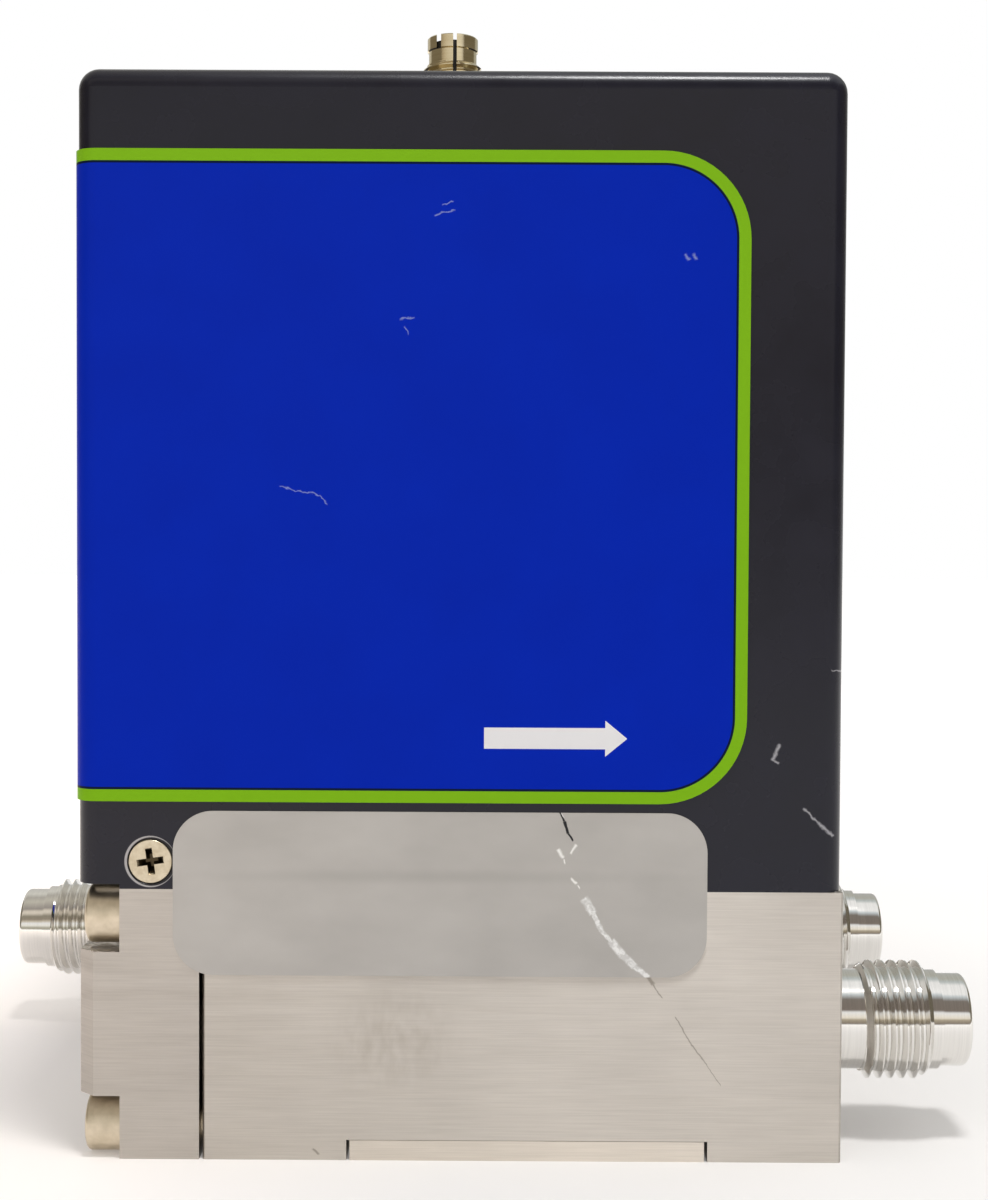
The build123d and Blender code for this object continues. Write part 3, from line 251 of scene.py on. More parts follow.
def wear_lines(tree, runs, wander, ragged):
    """Ragged lines on a face that looks along Y. Wander is in millimetres, ragged a share of the width."""
    where = add(tree, "TexCoord")
    shake = add(tree, "TexNoise", {"Vector": where.outputs["Object"], "Scale": 1 / (0.8 * MM), "Detail": 4.0})
    centred = add(tree, "VectorMath", {0: shake.outputs["Color"], 1: (0.5, 0.5, 0.5)}, operation="SUBTRACT")
    moved = add(tree, "VectorMath", {0: centred.outputs[0], "Scale": 2 * wander * MM}, operation="SCALE")
    point = add(tree, "VectorMath", {0: where.outputs["Object"], 1: moved.outputs[0]}, operation="ADD")
    total = None
    for start, end, width in runs:
        run, rise = end[0] - start[0], end[1] - start[1]
        half = hypot(run, rise) / 2
        placed = add(tree, "Mapping", {
            "Vector": point.outputs[0],
            "Location": ((start[0] + end[0]) / 2 * MM, front, (start[1] + end[1]) / 2 * MM),
            "Rotation": (0, -atan2(rise, run), 0),
        }, vector_type="TEXTURE")
        size = add(tree, "VectorMath", {0: placed.outputs[0]}, operation="ABSOLUTE")
        parts = add(tree, "SeparateXYZ", {0: size.outputs[0]})
        on_run = add(tree, "MapRange", {
            "Value": parts.outputs["X"], "From Min": (half - 0.05) * MM, "From Max": (half + 0.15) * MM,
            "To Min": 1.0, "To Max": 0.0,
        })
        on_line = add(tree, "MapRange", {
            "Value": parts.outputs["Z"], "From Min": width * (1 - ragged) / 2 * MM,
            "From Max": width * (1 + ragged) / 2 * MM, "To Min": 1.0, "To Max": 0.0,
        })
        mask = add(tree, "Math", {0: on_run.outputs[0], 1: on_line.outputs[0]}, operation="MULTIPLY").outputs[0]
        if total is not None:
            mask = add(tree, "Math", {0: total, 1: mask}, operation="MAXIMUM").outputs[0]
        total = mask
    return total


def soft_spot(tree, centre, size):
    """A soft oval on a face that looks along Y: centre and half sizes in X and Z, in millimetres."""
    where = add(tree, "TexCoord")
    placed = add(tree, "Mapping", {
        "Vector": where.outputs["Object"],
        "Location": (centre[0] * MM, front, centre[1] * MM),
        "Scale": (size[0] * MM, 1.0, size[1] * MM),
    }, vector_type="TEXTURE")
    reach = add(tree, "VectorMath", {0: placed.outputs[0]}, operation="LENGTH")
    return add(tree, "MapRange", {
        "Value": reach.outputs["Value"], "From Min": 0.0, "From Max": 1.0, "To Min": 1.0, "To Max": 0.0,
    }, interpolation_type="SMOOTHSTEP").outputs[0]


def blend(tree, share, first, second):
    """First colour, second where the share is 1."""
    return add(tree, "Mix", {0: share, 6: first, 7: second}, data_type="RGBA").outputs[2]


def brushed_stainless(name, low, high, marked=False):
    """Stainless bar, belt-ground lengthwise: its lines are level, so light spreads up and down from them."""
    made, tree, surface = new_material(name, Metallic=1.0, Anisotropic=0.92)
    # Belt lines are about 0.05 mm apart; drawn at 0.16 mm, because finer ones are lost in the picture
    fine = grain(tree, 7.0, 7.0, 0.16, 4.0)
    broad = grain(tree, 25.0, 25.0, 1.4, 3.0)
    cloud = grain(tree, 14.0, 14.0, 9.0, 2.0)
    tone = add(tree, "ValToRGB", {"Fac": fine}, ((0.3, low), (0.7, high)))
    bands = add(tree, "MapRange", {"Value": broad, "From Min": 0.3, "From Max": 0.7, "To Min": 0.97, "To Max": 1.03})
    clouds = add(tree, "MapRange", {"Value": cloud, "From Min": 0.3, "From Max": 0.7, "To Min": 0.96, "To Max": 1.04})
    shade = add(tree, "Math", {0: bands.outputs[0], 1: clouds.outputs[0]}, operation="MULTIPLY")
    colour = add(tree, "VectorMath", {0: tone.outputs[0], "Scale": shade.outputs[0]}, operation="SCALE").outputs[0]
    if marked:
        # A brownish handling smudge low in the middle, and one long scratch below the torn seal
        wipes = add(tree, "MapRange", {
            "Value": grain(tree, 1.2, 1.2, 2.4), "From Min": 0.3, "From Max": 0.7, "To Max": 0.3,
        })
        spot = soft_spot(tree, (-7.6, 14.2), (10.0, 8.0))
        smudge = add(tree, "Math", {0: spot, 1: wipes.outputs[0]}, operation="MULTIPLY")
        colour = blend(tree, smudge.outputs[0], colour, linear("#9A8F80"))
        scratch = add(tree, "Math", {0: wear_lines(tree, BLOCK_SCRATCHES, 0.2, 0.4), 1: 0.6}, operation="MULTIPLY")
        colour = blend(tree, scratch.outputs[0], colour, linear("#80786C"))
    tree.links.new(colour, surface.inputs["Base Color"])
    rough = add(tree, "MapRange", {"Value": broad, "From Min": 0.3, "From Max": 0.7, "To Min": 0.42, "To Max": 0.5})
    tree.links.new(rough.outputs[0], surface.inputs["Roughness"])
    bump = add(tree, "Bump", {"Height": fine, "Strength": 0.3, "Distance": 0.015 * MM})
    tree.links.new(bump.outputs[0], surface.inputs["Normal"])
    upright = add(tree, "CombineXYZ", {"Z": 1.0})
    tree.links.new(upright.outputs[0], surface.inputs["Tangent"])
    return made


def turned_metal(name, low, high, roughness, ring, axis):
    """Turned and polished metal: a bright skin with faint lathe rings, ring millimetres apart, round one axis."""
    made, tree, surface = new_material(name, Metallic=1.0, Roughness=roughness)
    sizes = [8.0, 8.0, 8.0]
    sizes["XYZ".index(axis)] = ring
    rings = grain(tree, *sizes)
    tone = add(tree, "ValToRGB", {"Fac": rings}, ((0.3, low), (0.7, high)))
    tree.links.new(tone.outputs[0], surface.inputs["Base Color"])
    bump = add(tree, "Bump", {"Height": rings, "Strength": 0.1, "Distance": 0.01 * MM})
    tree.links.new(bump.outputs[0], surface.inputs["Normal"])
    return made


def charcoal_paint():
    """Charcoal powder paint on sheet steel: a faint pebble in the skin, bare metal where it is chipped."""
    made, tree, surface = new_material("charcoal_powder_paint", IOR=1.5, Specular_IOR_Level=0.3)
    # Powder paint flows out into a pebble about half a millimetre wide
    pebble = grain(tree, 0.5, 0.5, 0.5, 2.0)
    mottle = grain(tree, 7.0, 7.0, 7.0, 4.0)
    tone = add(tree, "ValToRGB", {"Fac": mottle}, ((0.35, "#171723"), (0.65, "#1B1B28")))
    chipped = blend(tree, wear_lines(tree, COVER_CHIPS, 0.35, 0.9), tone.outputs[0], linear("#A9A8AD"))
    where = add(tree, "TexCoord")
    parts = add(tree, "SeparateXYZ", {0: where.outputs["Object"]})
    flat = add(tree, "CombineXYZ", {"X": parts.outputs["X"], "Z": parts.outputs["Z"]})
    in_front = add(tree, "Math", {0: parts.outputs["Y"], 1: 0.0}, operation="LESS_THAN")
    painted = chipped
    # The bare rim, then a dark ring of painted shade in the gap between the head and the countersink
    for shift, radius, colour in ((0.0, RIM_RADIUS, "#B9B6B6"), (SHADE_RING_SHIFT, SHADE_RING_RADIUS, "#18171B")):
        reach = add(tree, "VectorMath", {0: flat.outputs[0], 1: (SCREW_X + shift, 0, SCREW_Z)}, operation="DISTANCE")
        circle = add(tree, "MapRange", {
            "Value": reach.outputs["Value"], "From Min": radius - 0.04 * MM, "From Max": radius + 0.04 * MM,
            "To Min": 1.0, "To Max": 0.0,
        })
        mask = add(tree, "Math", {0: circle.outputs[0], 1: in_front.outputs[0]}, operation="MULTIPLY")
        painted = blend(tree, mask.outputs[0], painted, linear(colour))
    tree.links.new(painted, surface.inputs["Base Color"])
    rough = add(tree, "MapRange", {"Value": mottle, "From Min": 0.3, "From Max": 0.7, "To Min": 0.24, "To Max": 0.30})
    tree.links.new(rough.outputs[0], surface.inputs["Roughness"])
    bump = add(tree, "Bump", {"Height": pebble, "Strength": 0.12, "Distance": 0.03 * MM})
    tree.links.new(bump.outputs[0], surface.inputs["Normal"])
    return made


def edge_depth(tree, parts, axis):
    """How far a point on the label lies inside its edge, with rounded corners, seen square to one side."""
    rounding = 10.1 * MM
    half = (label_high.z - label_low.z) / 2
    up = add(tree, "Math", {0: parts.outputs["Z"], 1: label_low.z + half}, operation="SUBTRACT")
    height = add(tree, "Math", {0: up.outputs[0]}, operation="ABSOLUTE")
    from_top = add(tree, "Math", {0: height.outputs[0], 1: half - rounding}, operation="SUBTRACT")
    edge = getattr(label_high, axis.lower())
    from_end = add(tree, "Math", {0: parts.outputs[axis], 1: edge - rounding}, operation="SUBTRACT")
    corner = add(tree, "CombineXYZ", {"X": from_end.outputs[0], "Y": from_top.outputs[0]})
    outside = add(tree, "VectorMath", {0: corner.outputs[0], 1: (0, 0, 0)}, operation="MAXIMUM")
    reach = add(tree, "VectorMath", {0: outside.outputs[0]}, operation="LENGTH")
    larger = add(tree, "Math", {0: from_end.outputs[0], 1: from_top.outputs[0]}, operation="MAXIMUM")
    inner = add(tree, "Math", {0: larger.outputs[0], 1: 0.0}, operation="MINIMUM")
    both = add(tree, "Math", {0: reach.outputs["Value"], 1: inner.outputs[0]}, operation="ADD")
    return add(tree, "Math", {0: rounding, 1: both.outputs[0]}, operation="SUBTRACT").outputs[0]


def printed_label():
    """Polyester film printed on the back: a blue field inside a lime border, a white flow arrow, light rubs."""
    made, tree, surface = new_material(
        "printed_polyester_film", Roughness=0.34, IOR=1.55, Specular_IOR_Level=0.04,
    )
    border, keyline, soft = 1.39 * MM, 0.28 * MM, 0.02 * MM
    where = add(tree, "TexCoord")
    parts = add(tree, "SeparateXYZ", {0: where.outputs["Object"]})
    depth = add(tree, "Math", {
        0: edge_depth(tree, parts, "X"), 1: edge_depth(tree, parts, "Y"),
    }, operation="MINIMUM").outputs[0]
    inside = add(tree, "MapRange", {"Value": depth, "From Min": border - soft, "From Max": border + soft})
    field = add(tree, "MapRange", {
        "Value": depth, "From Min": border + keyline - soft, "From Max": border + keyline + soft,
    })
    mottle = grain(tree, 9.0, 9.0, 9.0, 4.0)
    blue = add(tree, "ValToRGB", {"Fac": mottle}, ((0.3, "#0027B6"), (0.7, "#0029BB")))
    edged = blend(tree, inside.outputs[0], linear("#84C01C"), linear("#0A1A38"))
    filled = blend(tree, field.outputs[0], edged, blue.outputs[0])
    # The arrow: a bar and a triangle, which point along the flow
    tail, neck, tip, line = 2.70 * MM, 16.75 * MM, 19.30 * MM, 49.62 * MM
    bar_half, head_half = 1.23 * MM, 2.1 * MM
    off_line = add(tree, "Math", {0: parts.outputs["Z"], 1: line}, operation="SUBTRACT")
    away = add(tree, "Math", {0: off_line.outputs[0]}, operation="ABSOLUTE")
    on_bar = add(tree, "Math", {0: away.outputs[0], 1: bar_half}, operation="LESS_THAN")
    after_tail = add(tree, "Math", {0: parts.outputs["X"], 1: tail}, operation="GREATER_THAN")
    after_neck = add(tree, "Math", {0: parts.outputs["X"], 1: neck}, operation="GREATER_THAN")
    before_neck = add(tree, "Math", {0: 1.0, 1: after_neck.outputs[0]}, operation="SUBTRACT")
    bar = add(tree, "Math", {0: on_bar.outputs[0], 1: after_tail.outputs[0]}, operation="MULTIPLY")
    shaft = add(tree, "Math", {0: bar.outputs[0], 1: before_neck.outputs[0]}, operation="MULTIPLY")
    to_tip = add(tree, "Math", {0: tip, 1: parts.outputs["X"]}, operation="SUBTRACT")
    opened = add(tree, "Math", {0: to_tip.outputs[0], 1: head_half / (tip - neck)}, operation="MULTIPLY")
    in_head = add(tree, "Math", {0: away.outputs[0], 1: opened.outputs[0]}, operation="LESS_THAN")
    head = add(tree, "Math", {0: in_head.outputs[0], 1: after_neck.outputs[0]}, operation="MULTIPLY")
    arrow = add(tree, "Math", {0: shaft.outputs[0], 1: head.outputs[0]}, operation="MAXIMUM")
    printed = blend(tree, arrow.outputs[0], filled, linear("#F4F4F6"))
    rub = add(tree, "Math", {0: wear_lines(tree, LABEL_RUBS, 0.45, 0.9), 1: 0.6}, operation="MULTIPLY")
    tree.links.new(blend(tree, rub.outputs[0], printed, linear("#A9B6E4")), surface.inputs["Base Color"])
    bump = add(tree, "Bump", {"Height": grain(tree, 2.5, 2.5, 2.5, 2.0), "Strength": 0.06, "Distance": 0.05 * MM})
    tree.links.new(bump.outputs[0], surface.inputs["Normal"])
    return made


def seal_foil():
    """Silver-grey foil sticker with a satin skin, split and torn at the right."""
    made, tree, surface = new_material("silver_foil_sticker", Metallic=0.5, Roughness=0.42)
    skin = grain(tree, 0.45, 0.45, 0.35)
    tone = add(tree, "ValToRGB", {"Fac": grain(tree, 12.0, 12.0, 6.0)}, ((0.3, "#B2AFAB"), (0.7, "#BDBAB6")))
    # A darker band of painted shade where the film lies over the joint of cover and block
    joint = add(tree, "Math", {0: soft_spot(tree, (-3.0, 33.4), (42.0, 1.2)), 1: 0.25}, operation="MULTIPLY")
    joint_shaded = blend(tree, joint.outputs[0], tone.outputs[0], linear("#8E8B87"))
    tear = wear_lines(tree, SEAL_TEAR, 0.22, 0.25)
    flecks = add(tree, "ValToRGB", {"Fac": grain(tree, 0.5, 0.5, 0.5)}, ((0.4, "#CFCECC"), (0.6, "#EFEFEE")))
    torn = blend(tree, tear, joint_shaded, flecks.outputs[0])
    flaked = blend(tree, wear_lines(tree, SEAL_FLAKES, 0.25, 0.7), torn, linear("#F2F1EE"))
    split = blend(tree, wear_lines(tree, SEAL_SPLIT, 0.15, 0.25), flaked, linear("#1B1B1F"))
    tree.links.new(split, surface.inputs["Base Color"])
    height = add(tree, "Math", {0: skin, 1: tear}, operation="ADD")
    bump = add(tree, "Bump", {"Height": height.outputs[0], "Strength": 0.15, "Distance": 0.04 * MM})
    tree.links.new(bump.outputs[0], surface.inputs["Normal"])
    return made


def cross_head_nickel():
    """Nickel-plated screw: satin head, with painted shade darkening the cross recess."""
    made, tree, surface = new_material("nickel_plated_cross_head", Metallic=1.0, Roughness=0.34)
    where = add(tree, "TexCoord")
    parts = add(tree, "SeparateXYZ", {0: where.outputs["Object"]})
    depth = add(tree, "Math", {0: parts.outputs["Y"]}, operation="ABSOLUTE")
    # Painted shade: darker with depth in the cross recess
    recess = add(tree, "MapRange", {
        "Value": depth.outputs[0], "From Min": abs(front) - 0.30 * MM, "From Max": abs(front) - 0.09 * MM,
        "To Min": 1.0, "To Max": 0.0,
    })
    tone = add(tree, "ValToRGB", {"Fac": grain(tree, 0.6, 0.6, 0.6)}, ((0.35, "#BFB39B"), (0.65, "#CFC5AF")))
    recess_shaded = blend(tree, recess.outputs[0], tone.outputs[0], linear("#4A4132"))
    tree.links.new(recess_shaded, surface.inputs["Base Color"])
    bump = add(tree, "Bump", {"Height": grain(tree, 0.2, 0.2, 0.2), "Strength": 0.15, "Distance": 0.01 * MM})
    tree.links.new(bump.outputs[0], surface.inputs["Normal"])
    return made


def plain_finish(name, low, high, size, bump_depth, **shader):
    """An even finish with a slight change of tone, size millimetres wide, and a bump of that depth."""
    made, tree, surface = new_material(name, **shader)
    cloud = grain(tree, size, size, size, 4.0)
    tone = add(tree, "ValToRGB", {"Fac": cloud}, ((0.35, low), (0.65, high)))
    tree.links.new(tone.outputs[0], surface.inputs["Base Color"])
    bump = add(tree, "Bump", {"Height": cloud, "Strength": 0.2, "Distance": bump_depth * MM})
    tree.links.new(bump.outputs[0], surface.inputs["Normal"])
    return made


def turn(bm, points, centre, axis, steps):
    """Turns an open outline, points in the frame, right round an axis."""
    line = [bm.verts.new(point) for point in points]
    edges = [bm.edges.new(pair) for pair in zip(line, line[1:])]
    bmesh.ops.spin(
        bm, geom=line + edges, cent=centre, axis=axis, angle=2 * pi, steps=steps, use_merge=True, use_duplicate=False,
    )


def thread_skin(centre, axis, across, start, end, phase, pitch, radius, depth):
    """The skin of a right-hand thread from start to end along an axis, cut square and chamfered at both ends."""
    turns = int((end - start) / pitch) + 5
    first = phase + (int((start - phase) / pitch) - 2) * pitch
    core = radius - depth
    bm = bmesh.new()
    line = [
        bm.verts.new(centre + axis * (first + place * pitch) + across * (radius - sunk * depth))
        for place, sunk in THREAD_FORM
    ]
    edges = [bm.edges.new(pair) for pair in zip(line, line[1:])]
    bmesh.ops.spin(
        bm, geom=line + edges, cent=centre, axis=axis, dvec=axis * (pitch / THREAD_STEPS),
        angle=2 * pi * turns, steps=THREAD_STEPS * turns, use_merge=False, use_duplicate=False,
    )
    bmesh.ops.remove_doubles(bm, verts=bm.verts, dist=0.002 * MM)
    for at, side in ((start, -1), (end, 1)):
        bmesh.ops.bisect_plane(
            bm, geom=bm.verts[:] + bm.edges[:] + bm.faces[:], dist=0.0005 * MM,
            plane_co=centre + axis * at, plane_no=axis * side, clear_outer=True,
        )
    for vert in bm.verts:
        along = (vert.co - centre).dot(axis)
        arm = vert.co - centre - axis * along
        limit = core + max(min(along - start, end - along), 0) * THREAD_CHAMFER
        if arm.length > limit:
            vert.co = centre + axis * along + arm.normalized() * limit
    mesh = bpy.data.meshes.new("thread")
    bm.to_mesh(mesh)
    bm.free()
    return mesh


def threaded_turning(outline, centre, axis, across, start, end, phase, pitch, radius, depth):
    """One closed skin: a turned outline, places along and out, whose two ends meet a thread from start to end."""
    bm = bmesh.new()
    turn(bm, [centre + axis * along + across * out for along, out in outline], centre, axis, TURNED_STEPS)
    thread = thread_skin(centre, axis, across, start, end, phase, pitch, radius, depth)
    bm.from_mesh(thread)
    bpy.data.meshes.remove(thread)
    for at in (start, end):
        rims = [
            edge for edge in bm.edges
            if edge.is_boundary and all(abs((v.co - centre).dot(axis) - at) < NEAR for v in edge.verts)
        ]
        bmesh.ops.bridge_loops(bm, edges=rims)
    bmesh.ops.recalc_face_normals(bm, faces=bm.faces)
    return bm


def object_from(bm, name):
    """An object at the origin with the mesh that has been worked on."""
    mesh = bpy.data.meshes.new(name)
    bm.to_mesh(mesh)
    bm.free()
    made = bpy.data.objects.new(name, mesh)
    bpy.context.scene.collection.objects.link(made)
    return made


def piece_from(bm, name, slot, *replaced):
    """Makes the finished piece, at the origin, smooth but for its sharp edges."""
    made = object_from(bm, name)
    for face in made.data.polygons:
        face.use_smooth = True
    made.data.set_sharp_from_angle(angle=SHARP)
    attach(made, "root")
    if replaced:
        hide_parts(*replaced)
    return made


def fitting(node, face, y, outward, neck, crest):
    """Turned face-seal fitting with a right-hand thread. Its outline goes from the thread's end to its start."""
    low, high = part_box(node)
    centre = Vector((0, y, (low.z + high.z) / 2))
    thread_end = neck + THREAD_LENGTH
    nose = thread_end + RELIEF_LENGTH
    tip = nose + NOSE_LENGTH
    outline = [(thread_end, NECK_RADIUS), (nose, NECK_RADIUS), (nose + NOSE_STEP, NOSE_RADIUS)]
    for along, out, radius, arc in (
        (tip - NOSE_ROUNDING, NOSE_RADIUS - NOSE_ROUNDING, NOSE_ROUNDING, 90), (tip, BEAD_CIRCLE, BEAD_RADIUS, 180),
    ):
        for step in range(ROUND_STEPS + 1):
            swing = radians(90 - step * arc / ROUND_STEPS)
            outline.append((along + radius * cos(swing), out + radius * sin(swing)))
    outline += [
        (tip, GAS_BORE + BORE_EDGE), (tip - BORE_EDGE, GAS_BORE), (-SPIGOT_DEPTH, GAS_BORE),
        (-SPIGOT_DEPTH, SPIGOT_RADIUS), (0, SPIGOT_RADIUS), (0, NECK_RADIUS), (neck, NECK_RADIUS),
    ]
    ends = sorted((face + outward * neck, face + outward * thread_end))
    bm = threaded_turning(
        [(face + outward * along, out) for along, out in outline], centre, Vector((1, 0, 0)), Vector((0, 1, 0)),
        *ends, crest - BOTTOM_OF_TURN * THREAD_PITCH, THREAD_PITCH, THREAD_RADIUS, THREAD_DEPTH,
    )
    return piece_from(bm, node + "_turned", "polished_stainless", node)


def block(name, low, high, taper=1.0, swing=0.0):
    """A closed box between two corners, to cut with. It narrows along +Y, and turns round its own middle."""
    bm = bmesh.new()
    bmesh.ops.create_cube(bm, size=1)
    bmesh.ops.scale(bm, vec=(taper, 1, taper), verts=[v for v in bm.verts if v.co.y > 0])
    bmesh.ops.scale(bm, vec=high - low, verts=bm.verts)
    bmesh.ops.rotate(bm, cent=(0, 0, 0), matrix=Matrix.Rotation(swing, 3, "Y"), verts=bm.verts)
    bmesh.ops.translate(bm, vec=(low + high) / 2, verts=bm.verts)
    return object_from(bm, name)


def cut_away(piece, cutters):
    """Cuts closed shapes out of a piece and leaves no modifier on it."""
    for cutter in cutters:
        cut = piece.modifiers.new("cut", "BOOLEAN")
        cut.object = cutter
        cut.operation = "DIFFERENCE"
        cut.solver = "EXACT"
    view = bpy.context.evaluated_depsgraph_get()
    mesh = bpy.data.meshes.new_from_object(piece.evaluated_get(view))
    piece.modifiers.clear()
    piece.data = mesh
    for cutter in cutters:
        bpy.data.objects.remove(cutter)


def round_connector():
    """Nickel shell of the round connector, with two slots in its front, and the hexagon collar it stands in."""
    top = plug_high.z
    centre = Vector((PLUG_X, 0, 0))
    upward = Vector((0, 0, 1))
    tube = PLUG_THREAD - PLUG_DEPTH - PLUG_WALL_GAP
    lip_foot = top - PLUG_LIP_HEIGHT
    thread_top = lip_foot - PLUG_NECK_HEIGHT
    thread_foot = cover_top + COLLAR_HEIGHT
    outline = [
        (thread_top, PLUG_NECK), (lip_foot, PLUG_NECK), (lip_foot + PLUG_EDGE, PLUG_LIP), (top - PLUG_EDGE, PLUG_LIP),
        (top, PLUG_LIP - PLUG_EDGE), (top, PLUG_BORE + PLUG_EDGE), (top - PLUG_EDGE, PLUG_BORE),
        (plug_low.z, PLUG_BORE), (plug_low.z, tube), (thread_foot, tube),
    ]
    shell = piece_from(threaded_turning(
        outline, centre, upward, Vector((1, 0, 0)), thread_foot, thread_top, thread_top - PLUG_CREST,
        PLUG_PITCH, PLUG_THREAD, PLUG_DEPTH,
    ), "connector_shell_turned", "nickel_shell", "connector_shell")
    cuts = ((KEY_OFFSET, KEY_WIDTH, top - KEY_DEPTH), (LIP_SLOT_OFFSET, LIP_SLOT_WIDTH, lip_foot))
    cut_away(shell, [
        block(
            "slot_cut", Vector((PLUG_X + offset - width / 2, -PLUG_THREAD * 1.2, foot)),
            Vector((PLUG_X + offset + width / 2, 0, top + MM)),
        )
        for offset, width, foot in cuts
    ])
    bm = bmesh.new()
    placed = Matrix.Translation(centre + upward * (cover_top + COLLAR_HEIGHT / 2))
    for segments, radius in ((6, COLLAR_RADIUS), (COLLAR_STEPS, tube)):
        bmesh.ops.create_cone(
            bm, cap_ends=False, segments=segments, radius1=radius, radius2=radius, depth=COLLAR_HEIGHT, matrix=placed,
        )
    for at in (cover_top, thread_foot):
        bmesh.ops.bridge_loops(bm, edges=[e for e in bm.edges if all(abs(v.co.z - at) < NEAR for v in e.verts)])
    outer = [e for e in bm.edges if all((v.co - centre).xy.length > COLLAR_RADIUS * 0.9 for v in e.verts)]
    bmesh.ops.bevel(
        bm, geom=outer, offset=COLLAR_EDGE, offset_type="OFFSET", segments=2, profile=0.5,
        affect="EDGES", material=-1,
    )
    bmesh.ops.recalc_face_normals(bm, faces=bm.faces)
    return [shell, piece_from(bm, "connector_collar", "nickel_shell")]


def cover_screw(name, x, facing):
    """Flat-head screw, flush with the cover, with a softened rim and a tapered cross recess turned a little."""
    outline = [
        (0, 0), (SCREW_HEAD - SCREW_EDGE, 0), (SCREW_HEAD, SCREW_EDGE), (SCREW_SHANK, SCREW_HEAD - SCREW_SHANK),
        (SCREW_SHANK, SCREW_LENGTH), (0, SCREW_LENGTH),
    ]
    centre = Vector((x, front, SCREW_Z))
    bm = bmesh.new()
    turn(bm, [centre + Vector((out, depth, 0)) for out, depth in outline], centre, (0, 1, 0), SCREW_STEPS)
    bmesh.ops.remove_doubles(bm, verts=bm.verts, dist=0.001 * MM)
    bmesh.ops.recalc_face_normals(bm, faces=bm.faces)
    made = piece_from(bm, name, "nickel_screws")
    cutters = []
    for width, height in ((CROSS_LENGTH, CROSS_WIDTH), (CROSS_WIDTH, CROSS_LENGTH)):
        start = centre - Vector((width / 2, CROSS_ABOVE, height / 2))
        end = centre + Vector((width / 2, CROSS_DEPTH, height / 2))
        cutters.append(block(name + "_cut", start, end, CROSS_TAPER, -CROSS_TURN))
    cut_away(made, cutters)
    if facing > 0:
        made.data.transform(Matrix.Scale(-1, 4, (0, 1, 0)))
        made.data.flip_normals()
    return made


def seen_directly(tree):
    """1 for what the camera sees, and for what metal and glass show of it."""
    rays = add(tree, "LightPath").outputs
    seen = rays["Is Camera Ray"]
    for kind in ("Is Glossy Ray", "Is Transmission Ray"):
        seen = add(tree, "Math", {0: seen, 1: rays[kind]}, operation="MAXIMUM").outputs[0]
    return seen


def studio_wall(name, reach, stops, end_colour):
    """Half of the room that only reflections see, bent over the object: hex colours by elevation in degrees."""
    low, high = stops[0][0], stops[-1][0]
    bm = bmesh.new()
    begin = Vector((0, -cos(radians(low)), sin(radians(low)))) * ROOM_RADIUS
    line = [bm.verts.new(begin), bm.verts.new(begin + Vector((reach, 0, 0)))]
    bmesh.ops.spin(
        bm, geom=line + [bm.edges.new(line)], cent=(0, 0, 0), axis=(-1, 0, 0), angle=radians(high - low), steps=40,
        use_merge=False, use_duplicate=False,
    )
    rim = [e for e in bm.edges if all(abs(v.co.x - reach) < MM for v in e.verts)]
    inner = [v for v in bmesh.ops.extrude_edge_only(bm, edges=rim)["geom"] if isinstance(v, bmesh.types.BMVert)]
    for face in {face for vert in inner for face in vert.link_faces}:
        face.material_index = 1
    bmesh.ops.scale(bm, vec=(1, 0, 0), verts=inner)
    wall = object_from(bm, name)
    made = bpy.data.materials.new(name)
    end = bpy.data.materials.new(name + "_end")
    for material in (made, end):
        material.use_nodes = True
        material.node_tree.nodes.clear()
        wall.data.materials.append(material)
    tree = made.node_tree
    where = add(tree, "TexCoord")
    parts = add(tree, "SeparateXYZ", {0: where.outputs["Object"]})
    ahead = add(tree, "Math", {0: parts.outputs["Y"], 1: -1.0}, operation="MULTIPLY")
    climb = add(tree, "Math", {0: parts.outputs["Z"], 1: ahead.outputs[0]}, operation="ARCTAN2")
    share = add(tree, "MapRange", {"Value": climb.outputs[0], "From Min": radians(low), "From Max": radians(high)})
    shade = add(tree, "ValToRGB", {"Fac": share.outputs[0]}, [((at - low) / (high - low), hue) for at, hue in stops])
    glow = add(tree, "Emission", {"Color": shade.outputs[0], "Strength": 1.0})
    add(tree, "OutputMaterial", {"Surface": glow.outputs[0]})
    glow = add(end.node_tree, "Emission", {"Color": linear(end_colour), "Strength": 1.0})
    add(end.node_tree, "OutputMaterial", {"Surface": glow.outputs[0]})
    wall.visible_camera = False
    wall.visible_diffuse = False
    wall.visible_transmission = False
    wall.visible_shadow = False


